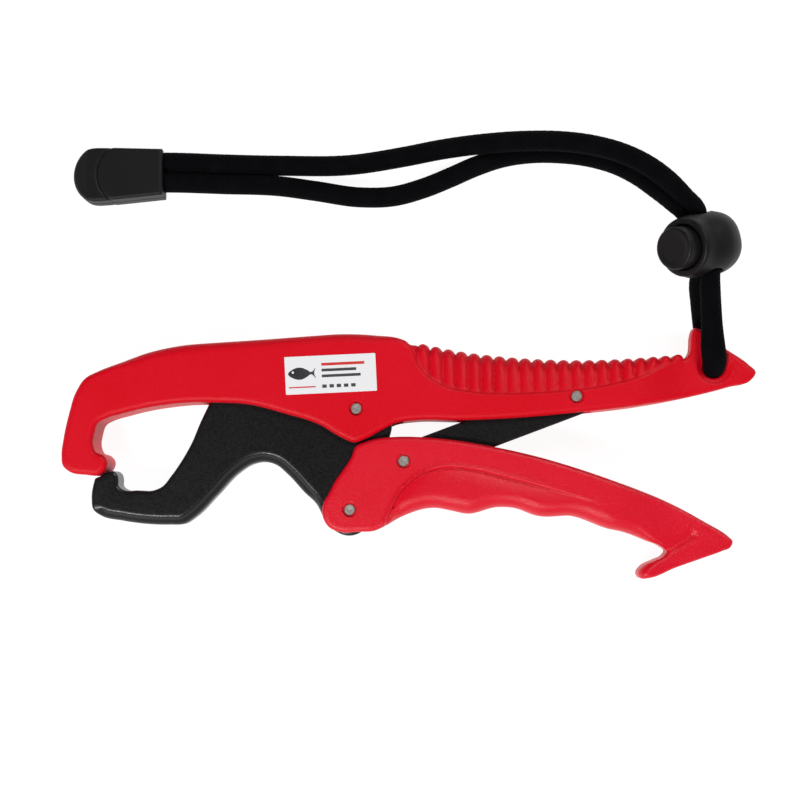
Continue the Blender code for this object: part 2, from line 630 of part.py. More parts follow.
MATERIALS = {
    "red_plastic": material("red_plastic", RED, 0.42),
    "black_plastic": material("black_plastic", BLACK, 0.38),
    "pin_steel": material("pin_steel", STEEL, 0.45, 1.0),
    "label_film": material("label_film", WHITE, 0.35),
    "cord_braid": material("cord_braid", CORD_BLACK, 0.9),
    "lock_plastic": material("lock_plastic", LOCK_BLACK, 0.55),
    "spring_steel": material("spring_steel", STEEL, 0.3, 1.0),
    "cap_plastic": material("cap_plastic", LOCK_BLACK, 0.6),
}


def tool_centre():
    """Middle of the tool's own plan box, without the lanyard."""
    spots = outline(BODY_FRONT + rib_line() + BODY_TAIL) + outline(HANDLE) + outline(JAW)
    xs = [p.x for p in spots]
    ys = [p.y for p in spots]
    return (min(xs) + max(xs)) / 2, (min(ys) + max(ys)) / 2


middle_x, middle_y = tool_centre()
root = pivot_empty("jaw_pivot_frame", (*JAW_PIVOT, 0))
root.location = (-middle_x * MM, -middle_y * MM, 0)
handle_axis = pivot_empty("handle_pivot_frame", (*HANDLE_PIVOT, 0), root)
link_axis = pivot_empty("link_pivot_frame", (*LINK_REAR, 0), root)
lock_axis = pivot_empty("cord_lock_frame", LOCK_CENTRE, root)

make_upper_body(root)
make_lower_jaw(root)
make_lower_handle(handle_axis)
make_toggle_link(link_axis)
make_pin("jaw_pivot_pin", JAW_PIVOT, root)
make_pin("handle_pivot_pin", HANDLE_PIVOT, root)
make_pin("link_front_pin", LINK_FRONT, handle_axis)
make_pin("link_rear_pin", LINK_REAR, root)
make_label(root)
make_barrel(lock_axis)
make_button(lock_axis)
make_spring(lock_axis)
make_cord(root)
make_cap_half("cord_end_base", CAP_LOW, CAP_SPLIT[0], root)
make_cap_half("cord_end_lid", CAP_SPLIT[1], CAP_LOW + CAP_HEIGHT, root)
bpy.context.view_layer.update()
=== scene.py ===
"""Looks of the lip grip: fine moulded shells, pins, sticker, braided lanyard, lock and end cap.

Shapes are written in millimetres from the jaw pivot, as the CAD source has them, with
Z = 0 on the floor. Moulded pieces are signed distance fields, which are negative inside;
each is meshed and its points are settled on the field's zero level.
"""
import json
import math

import bpy
import numpy as np
from mathutils import Matrix, Vector


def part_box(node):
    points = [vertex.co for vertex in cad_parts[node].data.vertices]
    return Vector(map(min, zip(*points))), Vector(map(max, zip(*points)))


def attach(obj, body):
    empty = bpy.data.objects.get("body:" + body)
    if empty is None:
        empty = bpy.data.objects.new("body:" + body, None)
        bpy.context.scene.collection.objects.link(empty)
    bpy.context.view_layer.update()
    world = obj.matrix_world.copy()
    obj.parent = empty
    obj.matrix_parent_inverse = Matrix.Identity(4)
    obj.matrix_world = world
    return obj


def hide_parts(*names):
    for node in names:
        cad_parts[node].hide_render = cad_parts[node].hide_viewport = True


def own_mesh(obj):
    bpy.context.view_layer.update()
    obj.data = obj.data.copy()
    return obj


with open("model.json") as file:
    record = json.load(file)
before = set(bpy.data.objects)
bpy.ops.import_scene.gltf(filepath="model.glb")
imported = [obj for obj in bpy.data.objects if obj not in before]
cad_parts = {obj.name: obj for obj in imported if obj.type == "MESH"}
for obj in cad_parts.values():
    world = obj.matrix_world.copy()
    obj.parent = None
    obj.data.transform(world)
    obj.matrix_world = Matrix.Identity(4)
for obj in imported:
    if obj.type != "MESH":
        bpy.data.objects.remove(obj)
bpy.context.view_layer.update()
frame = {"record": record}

MM = 0.001
CELL = 0.55          # mesh cell of the large mouldings, mm
FINE_CELL = 0.38     # mesh cell of the small mouldings, mm
PLAN_CELL = 0.25                       # grid of the flat distance maps, mm

JOINTS = {j["name"]: j for j in frame["record"]["behaviour"]["joints"]}
DATUM = Vector(JOINTS["jaw_swing"]["pos_m"]) / MM
DATUM.z = 0.0


def place(point):
    """World position in metres of a point in mm from the jaw pivot."""
    return (Vector(point) + DATUM) * MM


def pin_centre(node):
    """Plan centre of a pin in mm from the jaw pivot, read from the frame."""
    low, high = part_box(node)
    middle = (Vector(low) + Vector(high)) / (2 * MM) - DATUM
    return middle.x, middle.y


THICK = (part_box("upper_body")[1][2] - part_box("upper_body")[0][2]) / MM
MIDDLE = THICK / 2
JAW_HALF = (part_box("lower_jaw")[1][2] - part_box("lower_jaw")[0][2]) / MM / 2
POCKET_HALF = JAW_HALF + 0.15
JAW_PIVOT = pin_centre("jaw_pivot_pin")
HANDLE_PIVOT = pin_centre("handle_pivot_pin")
LINK_FRONT = pin_centre("link_front_pin")
LINK_REAR = pin_centre("link_rear_pin")

CORNER = "corner"

# ---- outlines: (x, y) on a smooth curve, (x, y, CORNER) at a corner ----------------
BODY_FRONT = [
    (3.8, -10.7), (-0.8, -12.2), (-5.0, -10.6), (-13.5, -5.7), (-25.3, -1.9),
    (-39.4, 1.6), (-51.6, 2.2), (-60.0, 2.2), (-68.6, 1.4), (-77.1, 0.0),
    (-84.7, -1.9), (-90.4, -3.6), (-93.2, -5.2), (-94.5, -8.6), (-94.9, -13.6),
    (-94.0, -15.7), (-91.4, -16.8), (-89.9, -18.8), (-90.7, -22.0), (-93.0, -23.9),
    (-98.0, -23.9), (-103.4, -22.9), (-106.0, -20.6), (-106.5, -17.0), (-105.8, -11.0),
    (-103.7, -1.5), (-101.3, 6.0), (-97.8, 11.1), (-93.2, 13.5), (-84.7, 16.9),
    (-76.2, 20.1), (-63.5, 22.9), (-50.8, 24.0), (-33.9, 25.1), (-16.6, 26.4),
    (-5.0, 27.1), (7.0, 26.6), (15.8, 25.3), (18.0, 24.4), (19.2, 23.3),
    (22.2, 23.0, CORNER),
]
BODY_TAIL = [
    (120.6, 19.3), (121.6, 21.0), (121.9, 23.4), (122.1, 26.8), (123.6, 29.9), (125.6, 29.2),
    (134.4, 22.4), (143.2, 16.3), (145.7, 13.6), (143.9, 10.7), (136.4, 8.4),
    (127.0, 5.9), (116.6, 3.6), (98.0, 0.6), (79.5, -1.4), (58.0, -3.3), (38.4, -4.2),
    (21.2, -4.2), (14.5, -5.2), (9.0, -7.9),
]
JAW_MOUTH = [
    (-95.2, -26.4), (-94.9, -25.4), (-92.5, -24.3), (-90.2, -22.8), (-88.2, -22.5),
    (-86.9, -23.5), (-86.3, -25.6), (-86.3, -27.8), (-84.6, -29.2), (-79.2, -29.5),
    (-73.6, -29.5), (-70.9, -28.4), (-67.0, -24.0), (-63.1, -18.3), (-59.6, -12.0),
    (-56.8, -5.3), (-54.0, 0.6), (-51.9, 5.0, CORNER), (-12.0, 5.0, CORNER),
    (-7.0, 7.2), (0.0, 9.0), (7.0, 6.5), (11.5, 0.0), (12.9, -6.0), (11.4, -11.5),
    (8.6, -17.0), (6.8, -26.0), (6.6, -36.5),
]
JAW_OUTER = [
    (3.96, -42.86), (-2.4, -46.0),
    (-8.6, -43.6), (-12.2, -38.8), (-14.4, -34.7), (-19.0, -30.2), (-24.9, -23.8),
    (-29.5, -20.1), (-33.8, -19.1), (-37.8, -19.9), (-42.8, -23.0), (-50.7, -31.2),
    (-58.7, -39.2), (-62.4, -41.6), (-68.2, -42.0), (-76.8, -41.7), (-85.4, -40.5),
    (-92.8, -38.8), (-95.5, -36.5), (-96.1, -32.8),
]
HANDLE = [
    (-0.3, -13.7), (-1.7, -17.1), (-4.9, -22.1), (-7.6, -25.9), (-9.8, -30.1),
    (-12.0, -34.4), (-12.3, -38.2), (-9.9, -42.8), (-5.1, -44.7), (0.6, -44.5),
    (6.3, -44.2), (10.8, -42.2), (15.8, -39.4), (28.7, -35.9), (34.5, -36.9), (40.1, -38.0),
    (51.4, -35.6), (57.4, -35.9), (66.5, -38.9), (78.6, -38.9), (92.8, -43.7),
    (97.1, -44.6), (106.0, -47.9), (111.4, -50.2), (112.9, -51.7), (112.0, -53.3),
    (108.6, -55.0), (104.0, -57.3), (102.5, -59.6), (103.4, -61.5), (106.0, -61.4),
    (116.6, -57.5), (126.0, -54.2), (133.2, -51.6), (136.2, -50.2), (136.9, -47.8),
    (135.6, -46.5), (126.8, -41.0), (112.6, -33.5), (102.2, -29.3), (93.2, -26.1),
    (81.6, -22.1), (65.0, -17.2), (51.8, -14.2), (30.2, -10.8), (14.0, -10.2),
    (7.4, -10.8), (3.3, -12.0),
]
SCOOP = [
    (19.2, 40.0, CORNER), (19.2, 24.4, CORNER), (19.9, 20.3), (22.4, 14.8), (26.0, 10.9),
    (33.2, 7.2), (41.3, 5.6), (52.8, 4.9), (70.8, 5.6), (89.9, 7.8), (102.9, 11.3),
    (111.7, 15.3), (118.0, 19.0, CORNER), (118.0, 40.0, CORNER),
]
FINGER_ZONE = [
    (9.0, -70.0, CORNER), (9.0, -44.5, CORNER), (12.5, -35.8), (15.8, -30.2), (21.5, -24.7),
    (30.5, -21.3), (39.5, -21.4), (54.3, -24.7), (73.4, -29.8), (88.0, -34.0), (104.0, -38.9),
    (111.0, -43.0), (113.0, -49.0), (111.0, -56.0, CORNER), (99.0, -70.0, CORNER),
]
HEAD_POCKET = [
    (-55.4, -30.0), (-55.4, 5.7), (-13.0, 5.7), (-7.5, 9.0), (0.0, 10.2), (8.5, 8.0),
    (14.5, 1.0), (17.0, -3.0), (17.0, -30.0),
]
TAIL_POCKET = [
    (37.0, -30.0), (37.0, -2.7), (71.0, 9.0), (76.0, 10.6), (81.8, 10.8), (86.2, 8.0),
    (86.6, -30.0),
]
HANDLE_POCKET = [
    (-30.0, 0.0), (-30.0, -70.0), (4.6, -70.0), (4.6, -36.0), (7.2, -32.6), (24.6, -32.6),
    (27.0, -23.4), (66.0, -8.8), (66.0, 0.0),
]
HOOK_HALF = 5.0                        # half thickness of the lower handle's hooked tail
LOBE_ROOM = 10.0                       # radius cleared in the handle for the jaw's round end
FIN_HOLE = (130.5, 15.6)
FIN_HOLE_RADIUS = 4.0
FIN_TAPER = (99.0, 124.0)              # where the handle thins to the fin, along X
FIN_HALF = 3.8                         # half thickness of the tail fin
RIB_COUNT = 21
RIB_PITCH = 4.62
RIB_HEIGHT = 1.9
RIB_START = 24.5                       # crest of the first rib
RIB_END = 118.8                        # end of the dents between the ribs
RIB_LOW = (81.7, 17.9)                 # lowest point of the line over the crests
RIB_CURVE = 0.00172                    # how it rises from there
RIB_WIDTH = 2.31                       # half width of one rib at its foot
LINK_EYE = 6.3                         # half width of the link
LINK_DROP = -0.4                       # its middle line, from the line of its pivots
SLOT_ENDS = (0.3, 7.0)                 # end centres of the slot in its front eye, along the link
SLOT_DROP = 0.32                       # slot below the line of its pivots
SLOT_RADIUS = 2.95
GROOVE_START = (112.5, -51.3)          # shallow groove in the sides of the hooked tail
GROOVE_RUN = (9.3, 5.4)
GROOVE_DEPTH = 1.1
GROOVE_WIDTH = 1.5
PIN_RADIUS = 1.98
PIN_RECESS = 0.3                       # pin ends below the side faces
BORE = 2.04                            # radius of a pin bore
COUNTERBORE = 2.65                     # radius and depth of the shallow recess at its mouth
COUNTERBORE_DEPTH = 0.9

# ---- lanyard route: x, y, z, width, height -----------------------------------------
UPPER_STRAND = [
    (-78.0, 91.5, 6.1), (-66.0, 91.5, 5.8), (-50.0, 91.3, 4.1), (-28.0, 90.9, 3.6),
    (-2.3, 91.2, 3.6), (17.7, 94.2, 3.9), (31.0, 96.5, 5.3), (47.0, 98.0, 8.3),
    (63.6, 98.6, 10.3), (74.6, 98.4, 10.5), (87.1, 96.8, 10.6), (97.0, 94.1, 10.6),
    (106.3, 89.6, 11.0), (113.8, 83.6, 12.4), (119.4, 77.3, 14.8, 6.6, 6.4),
]
LOWER_STRAND = [
    (-78.0, 84.2, 6.1), (-66.0, 84.2, 5.8), (-50.0, 84.0, 4.1), (-28.6, 83.3, 3.6),
    (-15.3, 81.5, 3.6), (1.0, 79.2, 3.6), (13.6, 79.6, 3.6), (24.4, 82.5, 3.6),
    (34.4, 86.5, 3.6), (44.0, 90.7, 3.6), (54.0, 94.0, 3.6), (64.1, 95.5, 3.6),
    (75.2, 95.5, 3.6), (87.4, 93.9, 3.6), (96.9, 91.0, 3.6), (104.2, 86.9, 4.6),
    (110.4, 81.6, 7.4), (115.6, 75.9, 10.6, 6.4, 6.2),
]
NEAR_DROP = [(128.0, 46.0, 17.5, 7.2, 6.6), (128.3, 38.0, 17.4, 7.4, 6.4),
             (128.7, 30.0, 17.2, 7.8, 6.1), (129.2, 22.0, 17.0, 8.9, 5.6)]
FAR_DROP = [(125.0, 46.0, 11.2, 6.8, 6.6), (126.3, 40.0, 7.4, 7.0, 6.6),
            (127.8, 33.0, 4.2, 7.3, 6.2), (129.4, 25.0, 3.1, 8.2, 5.6)]
FIN_BEND = (21.3, 10.0, 6.9)           # centre y, centre z and radius of the turn in the fin hole
FIN_SQUASH = (7.8, 5.6)                # cord section where it bends round the fin
CORD_SECTION = (7.3, 6.9)              # it lies a little flattened
BRAID_PLAITS = 9                       # plaits round the cord, each way
BRAID_TURN = 2.3                       # phase of their pattern along the cord, radians per mm
BRAID_HEIGHT = 0.10                    # half the depth of their relief
STRAND_SPACING = 5.6
CORD_IN_LOCK = 5.2

LOCK_CENTRE = (126.6, 59.9, 13.4)
LOCK_RADIUS = 13.3
LOCK_END = 11.6                        # half length of the lock along the cord
LOCK_BLUNT = 2.4                       # how square its shoulders are; 2 is a plain ellipsoid
LOCK_TILT = math.radians(14.0)         # cord axis of the lock, from +Y toward -X
BUTTON_RISE = math.radians(43.0)       # slope of its button axis
BUTTON_RADIUS = 7.6
BUTTON_BORE = 7.95
BUTTON_FACE = 19.2
BUTTON_FOOT = -2.0
BUTTON_TRAVEL = 3.0
CORD_SEAT = 3.0                        # cord axis above the lock centre, along the button axis
BORE_FLOOR = -5.4
SPRING_POCKET = (4.2, -10.4)           # radius, floor
SPRING_RADIUS = 3.0
SPRING_WIRE = 0.35
SPRING_TURNS = 4
COLLAR = (10.4, 12.6, 13.4)            # radius at its end and at its root, height of its end

CAP_LOW = 0.1
CAP_HEIGHT = 12.0
CAP_SPLIT = 6.1                        # joint between base and lid
CAP_SIDES = [(-71.1, 78.7), (-71.1, 95.5), (-110.0, 96.6), (-110.0, 74.6)]
CAP_END = (-93.9, 86.1, 10.5)          # round end: centre and radius
CAP_STEP = (-83.5, 86.2, 11.1)         # arc of the step in its faces
CAP_FALL = (-98.4, 0.5)                # where its faces begin to fall to the round end, slope
CAP_SOCKET = (-79.0, 3.75)             # blind end of the cord sockets, radius
CAP_CORD_Y = (91.5, 84.2)

LABEL_SIZE = (32.8, 13.6, 0.16)        # length, height, film
LABEL_CORNER = 0.3
PRINT_PROUD = 0.02                     # print above the film
LABEL_CENTRE = (-9.2, 12.4)
LABEL_TILT = math.radians(2.7)


# ---- camera, light and floor -------------------------------------------------------
CAMERA_FOOT = (12.9, -31.9)            # plan point under the lens
CAMERA_HEIGHT = 573.0
LENS = 69.1
FRAME_SHIFT = (0.01, 0.1212)
FLOOR_REACH = 3.0                      # metres from the middle to a side
FLOOR_DROP = 0.0002                    # metres below the lowest face, so the two never fight


def make_camera():
    """Camera that looks straight down."""
    data = bpy.data.cameras.new("camera")
    data.lens = LENS
    data.sensor_width = 36.0
    data.shift_x, data.shift_y = FRAME_SHIFT
    data.clip_start = 0.01
    camera = bpy.data.objects.new("camera", data)
    camera.location = place((*CAMERA_FOOT, CAMERA_HEIGHT))
    bpy.context.scene.collection.objects.link(camera)
    bpy.context.scene.camera = camera


def area_light(name, where, target, size, power):
    data = bpy.data.lights.new(name, "AREA")
    data.shape = "RECTANGLE"
    data.size, data.size_y = size
    data.energy = power
    light = bpy.data.objects.new(name, data)
    light.location = where
    aim = Vector(target) - Vector(where)
    light.rotation_euler = aim.to_track_quat("-Z", "Y").to_euler()
    bpy.context.scene.collection.objects.link(light)


def make_stage():
    """White studio sky, two softboxes and a bright floor."""
    world = bpy.data.worlds.new("soft_studio")
    world.use_nodes = True
    sky = world.node_tree
    sky.nodes["Background"].inputs["Color"].default_value = (1, 1, 1, 1)
    coords = sky.nodes.new("ShaderNodeTexCoord")
    parts = sky.nodes.new("ShaderNodeSeparateXYZ")
    sky.links.new(coords.outputs["Generated"], parts.inputs["Vector"])
    height = spread(sky, parts.outputs["Z"], 0.35, 0.9, 1.0, 0.04)
    side = spread(sky, parts.outputs["Y"], -0.5, 0.5, 0.4, 0.12)
    bright = add(sky, "ShaderNodeMath")
    bright.operation = "MULTIPLY"
    sky.links.new(height, bright.inputs[0])
    sky.links.new(side, bright.inputs[1])
    sky.links.new(bright.outputs["Value"], sky.nodes["Background"].inputs["Strength"])
    bpy.context.scene.world = world
    area_light("key_softbox", (-0.36, -0.64, 0.95), (0, 0.02, 0), (0.5, 0.22), 10.5)
    area_light("fill_softbox", (0.5, 0.7, 0.9), (0, 0.02, 0), (0.5, 0.4), 6.5)
    mesh = bpy.data.meshes.new("floor")
    reach = FLOOR_REACH
    mesh.from_pydata([(-reach, -reach, 0), (reach, -reach, 0), (reach, reach, 0), (-reach, reach, 0)],
                     [], [(0, 1, 2, 3)])
    floor = bpy.data.objects.new("floor", mesh)
    floor.location.z = -FLOOR_DROP
    bpy.context.scene.collection.objects.link(floor)
    paint = bpy.data.materials.new("floor_paint")
    paint.use_nodes = True
    shader = paint.node_tree.nodes["Principled BSDF"]
    shader.inputs["Base Color"].default_value = (0.16, 0.16, 0.16, 1)
    shader.inputs["Roughness"].default_value = 0.9
    shader.inputs["Specular IOR Level"].default_value = 0.1
    shader.inputs["Emission Color"].default_value = (1, 1, 1, 1)
    shader.inputs["Emission Strength"].default_value = 0.94
    mesh.materials.append(paint)
    bpy.context.scene.view_settings.view_transform = "Standard"


# ---- curves and outlines -----------------------------------------------------------
def tangent(before, here, after):
    """Direction of the curve at a point, from its neighbours."""
    a = here - before
    b = after - here
    return (a.normalized() * b.length + b.normalized() * a.length).normalized()


def smooth_run(a, ta, b, tb, steps):
    """Points from a up to but not including b, on the Hermite curve between them."""
    span = (b - a).length
    for k in range(steps):
        t = k / steps
        yield ((2 * t**3 - 3 * t**2 + 1) * a + (t**3 - 2 * t**2 + t) * span * ta
               + (3 * t**2 - 2 * t**3) * b + (t**3 - t**2) * span * tb)


def outline(points, step=0.7):
    """Closed outline: smooth through its points, broken at the marked corners."""
    spots = [Vector(p[:2]) for p in points]
    sharp = [len(p) > 2 for p in points]
    count = len(spots)
    ring = []
    for i in range(count):
        j = (i + 1) % count
        a, b = spots[i], spots[j]
        straight = (b - a).normalized()
        ta = straight if sharp[i] else tangent(spots[i - 1], a, b)
        tb = straight if sharp[j] else tangent(a, b, spots[(j + 1) % count])
        bent = ta.angle(tb) > 0.01
        steps = max(2, math.ceil((b - a).length / step)) if bent else 1
        ring.extend(smooth_run(a, ta, b, tb, steps))
    return np.array([tuple(p) for p in ring])


def circle(centre, radius, sides):
    angles = 2 * np.pi * np.arange(sides) / sides
    return np.stack([centre[0] + radius * np.cos(angles), centre[1] + radius * np.sin(angles)], 1)


def rib_bump(x):
    """Height of the rib wave from 0 in a valley to 1 on a crest."""
    phase = (x - RIB_START) / RIB_PITCH
    away = np.abs(phase - np.round(phase)) * RIB_PITCH
    return np.clip(1 - (away / RIB_WIDTH) ** 2, 0, 1) ** 0.6


def rib_line():
    """Top edge of the ribbed handle."""
    first = RIB_START - RIB_PITCH / 2
    xs = first + RIB_PITCH * np.arange(RIB_COUNT * 16 + 1) / 16
    crest = RIB_LOW[1] + RIB_CURVE * (xs - RIB_LOW[0]) ** 2
    ys = crest - RIB_HEIGHT * (1 - rib_bump(xs))
    return [(float(x), float(y), CORNER) for x, y in zip(xs, ys)]


# ---- signed distance maps ----------------------------------------------------------
def ring_distance(x, y, ring):
    """Signed distance of points to a closed outline, negative inside."""
    nearest = np.full(np.broadcast(x, y).shape, np.inf)
    inside = np.zeros(nearest.shape, bool)
    for (ax, ay), (bx, by) in zip(ring, np.roll(ring, -1, 0)):
        ex, ey = bx - ax, by - ay
        px, py = x - ax, y - ay
        t = np.clip((px * ex + py * ey) / max(ex * ex + ey * ey, 1e-12), 0, 1)
        nearest = np.minimum(nearest, (px - t * ex) ** 2 + (py - t * ey) ** 2)
        if ay != by:
            inside ^= ((ay > y) != (by > y)) & (x < ex * (y - ay) / ey + ax)
    return np.where(inside, -1, 1) * np.sqrt(nearest)


class Plan:
    """Flat distance map of an outline on a grid, read back by bilinear interpolation."""

    def __init__(self, ring, low, high, cell=PLAN_CELL):
        self.low, self.cell = low, cell
        self.count = [int(math.ceil((h - l) / cell)) + 2 for l, h in zip(low, high)]
        x = low[0] + cell * np.arange(self.count[0])[:, None]
        y = low[1] + cell * np.arange(self.count[1])[None, :]
        self.map = ring_distance(x, y, np.asarray(ring, float))

    def __call__(self, x, y):
        u = np.clip((x - self.low[0]) / self.cell, 0, self.count[0] - 1.001)
        v = np.clip((y - self.low[1]) / self.cell, 0, self.count[1] - 1.001)
        i, j = u.astype(int), v.astype(int)
        u, v = u - i, v - j
        m = self.map
        return ((1 - u) * (1 - v) * m[i, j] + u * (1 - v) * m[i + 1, j]
                + (1 - u) * v * m[i, j + 1] + u * v * m[i + 1, j + 1])


def ramp(t):
    """Smooth step from 0 to 1 as t goes from 0 to 1."""
    t = np.clip(t, 0, 1)
    return t * t * (3 - 2 * t)


def plate(flat, z, middle, half, radius):
    """Plate of a flat distance, with rounded rims."""
    q1 = flat + radius
    q2 = np.abs(z - middle) - half + radius
    return np.minimum(np.maximum(q1, q2), 0) + np.hypot(np.maximum(q1, 0), np.maximum(q2, 0)) - radius


def carve(solid, hollow, blend):
    """Solid without the hollow, the edge between them rounded by about blend."""
    a, b = solid, -hollow
    h = np.clip(0.5 + 0.5 * (a - b) / blend, 0, 1)
    return b + (a - b) * h + blend * h * (1 - h)


def join(a, b, blend):
    """Two solids as one, the corner between them filled by about blend."""
    h = np.clip(0.5 + 0.5 * (b - a) / blend, 0, 1)
    return b + (a - b) * h - blend * h * (1 - h)


# ---- meshing -----------------------------------------------------------------------
def surface_net(field, low, high, cell):
    """Points and quads of the zero level of a field over a box."""
    axes = [np.arange(l, h + cell, cell) for l, h in zip(low, high)]
    values = field(axes[0][:, None, None], axes[1][None, :, None], axes[2][None, None, :])
    inside = values < 0
    cells = tuple(n - 1 for n in inside.shape)
    total = np.zeros((*cells, 3), np.float32)
    number = np.zeros(cells, np.float32)
    for a in range(3):
        for shift in ((0, 0), (0, 1), (1, 0), (1, 1)):
            start, end = [None] * 3, [None] * 3
            corner = [0, 0, 0]
            others = [d for d in range(3) if d != a]
            start[a], end[a] = slice(0, cells[a]), slice(1, cells[a] + 1)
            for d, s in zip(others, shift):
                start[d] = end[d] = slice(s, cells[d] + s)
                corner[d] = s
            f0, f1 = values[tuple(start)], values[tuple(end)]
            crossed = (f0 < 0) != (f1 < 0)
            t = np.where(crossed, f0 / np.where(crossed, f0 - f1, 1), 0)
            number += crossed
            for d in range(3):
                total[..., d] += crossed * (t if d == a else corner[d])
    used = number > 0
    where = np.argwhere(used)
    points = (where + total[used] / number[used][:, None]) * cell + np.array([a[0] for a in axes])
    index = np.full(cells, -1, np.int64)
    index[used] = np.arange(len(where))
    quads = []
    for a in range(3):
        b, c = (a + 1) % 3, (a + 2) % 3
        first, second = [slice(1, -1)] * 3, [slice(1, -1)] * 3
        first[a], second[a] = slice(0, -1), slice(1, None)
        s0, s1 = inside[tuple(first)], inside[tuple(second)]
        spot = np.argwhere(s0 != s1)
        offset = np.ones(3, int)
        offset[a] = 0
        flip = ~s0[tuple(spot.T)]
        spot = spot + offset
        corners = []
        for db, dc in ((-1, -1), (0, -1), (0, 0), (-1, 0)):
            here = spot.copy()
            here[:, b] += db
            here[:, c] += dc
            corners.append(index[tuple(here.T)])
        quad = np.stack(corners, 1)
        quad[flip] = quad[flip][:, ::-1]
        quads.append(quad)
    return points, np.concatenate(quads)


def settle(points, field, rounds=4, step=0.02, most=0.3):
    """Move points onto the zero level of the field along its slope."""
    for _ in range(rounds):
        x, y, z = points.T
        value = field(x, y, z)
        slope = np.stack([field(x + step, y, z) - value, field(x, y + step, z) - value,
                          field(x, y, z + step) - value], 1) / step
        size = np.maximum((slope**2).sum(1), 0.25)
        move = -(value / size)[:, None] * slope
        length = np.linalg.norm(move, axis=1)
        points = points + move * np.minimum(1, most / np.maximum(length, 1e-9))[:, None]
    return points


def new_object(name, points, faces, finish, matrix=None):
    """Mesh object from points in mm from the jaw pivot, or in the frame of matrix."""
    mesh = bpy.data.meshes.new(name)
    if matrix is None:
        placed = (np.asarray(points) + np.array(DATUM)) * MM
    else:
        turn = np.array(matrix.to_3x3())
        placed = (np.asarray(points) @ turn.T + np.array(matrix.translation) + np.array(DATUM)) * MM
    mesh.from_pydata(placed.tolist(), [], [list(map(int, f)) for f in faces])
    mesh.update()
    mesh.materials.append(finish)
    made = bpy.data.objects.new(name, mesh)
    bpy.context.scene.collection.objects.link(made)
    return made


def moulding(name, field, low, high, cell, finish, matrix=None):
    """Piece meshed from a signed distance field over a box."""
    points, quads = surface_net(field, low, high, cell)
    points = settle(points, field)
    made = new_object(name, points, quads, finish, matrix)
    made.data.shade_smooth()
    return made


def turned(name, profile, finish, matrix, sides=48, sharp=math.radians(35)):
    """Solid turned about the matrix's third axis from (radius, height) points, bottom up."""
    points, faces, rings = [], [], []
    for radius, height in profile:
        if radius == 0:
            rings.append([len(points)])
            points.append((0, 0, height))
        else:
            rings.append(list(range(len(points), len(points) + sides)))
            points.extend((*p, height) for p in circle((0, 0), radius, sides))
    for low, high in zip(rings, rings[1:]):
        for k in range(sides):
            j = (k + 1) % sides
            corners = [low[k % len(low)], low[j % len(low)], high[j % len(high)], high[k % len(high)]]
            faces.append(list(dict.fromkeys(corners)))
    made = new_object(name, points, faces, finish, matrix)
    made.data.shade_smooth()
    made.data.set_sharp_from_angle(angle=sharp)
    return made


def drill(target, centre, faces=(0.0, THICK)):
    """Bore for a pin with a shallow counterbore at each face, cut with an applied Boolean."""
    bottom = faces[0] + COUNTERBORE_DEPTH
    top = faces[1] - COUNTERBORE_DEPTH
    past = (faces[0] - 4, faces[1] + 4)
    profile = [(0, past[0]), (COUNTERBORE, past[0]), (COUNTERBORE, bottom), (BORE, bottom),
               (BORE, top), (COUNTERBORE, top), (COUNTERBORE, past[1]), (0, past[1])]
    tool = turned("drill", profile, target.data.materials[0], Matrix.Translation((*centre, 0)))
    step = target.modifiers.new("hole", "BOOLEAN")
    step.operation = "DIFFERENCE"
    step.object = tool
    apply_modifiers(target)
    bpy.data.objects.remove(tool, do_unlink=True)


def apply_modifiers(made):
    """Put what the modifiers make in place of the mesh."""
    graph = bpy.context.evaluated_depsgraph_get()
    graph.update()
    mesh = bpy.data.meshes.new_from_object(made.evaluated_get(graph))
    made.modifiers.clear()
    made.data = mesh


# ---- materials ---------------------------------------------------------------------
def shader_of(name, roughness, specular=0.5, metallic=0.0):
    made = bpy.data.materials.new(name)
    made.use_nodes = True
    shader = made.node_tree.nodes["Principled BSDF"]
    shader.inputs["Roughness"].default_value = roughness
    shader.inputs["Specular IOR Level"].default_value = specular
    shader.inputs["Metallic"].default_value = metallic
    return made, made.node_tree, shader


def add(tree, kind, **inputs):
    node = tree.nodes.new(kind)
    for key, value in inputs.items():
        node.inputs[key.replace("_", " ")].default_value = value
    return node


def noise(tree, scale, detail=2.0, roughness=0.5):
    coords = tree.nodes.get("coords") or tree.nodes.new("ShaderNodeTexCoord")
    coords.name = "coords"
    made = add(tree, "ShaderNodeTexNoise", Scale=scale, Detail=detail, Roughness=roughness)
    tree.links.new(coords.outputs["Object"], made.inputs["Vector"])
    return made


def layer(tree, factor, below, colour):
    """Colour laid by a factor over below, a colour or the output of a node."""
    mix = tree.nodes.new("ShaderNodeMix")
    mix.data_type = "RGBA"
    mix.inputs[7].default_value = (*colour, 1)
    tree.links.new(factor, mix.inputs[0])
    if isinstance(below, tuple):
        mix.inputs[6].default_value = (*below, 1)
    else:
        tree.links.new(below, mix.inputs[6])
    return mix.outputs[2]


def spread(tree, value, low, high, out_low=0.0, out_high=1.0):
    made = tree.nodes.new("ShaderNodeMapRange")
    made.inputs["From Min"].default_value = low
    made.inputs["From Max"].default_value = high
    made.inputs["To Min"].default_value = out_low
    made.inputs["To Max"].default_value = out_high
    tree.links.new(value, made.inputs["Value"])
    return made.outputs["Result"]


def bump(tree, shader, height, distance, strength=1.0):
    made = add(tree, "ShaderNodeBump", Strength=strength, Distance=distance)
    tree.links.new(height, made.inputs["Height"])
    tree.links.new(made.outputs["Normal"], shader.inputs["Normal"])


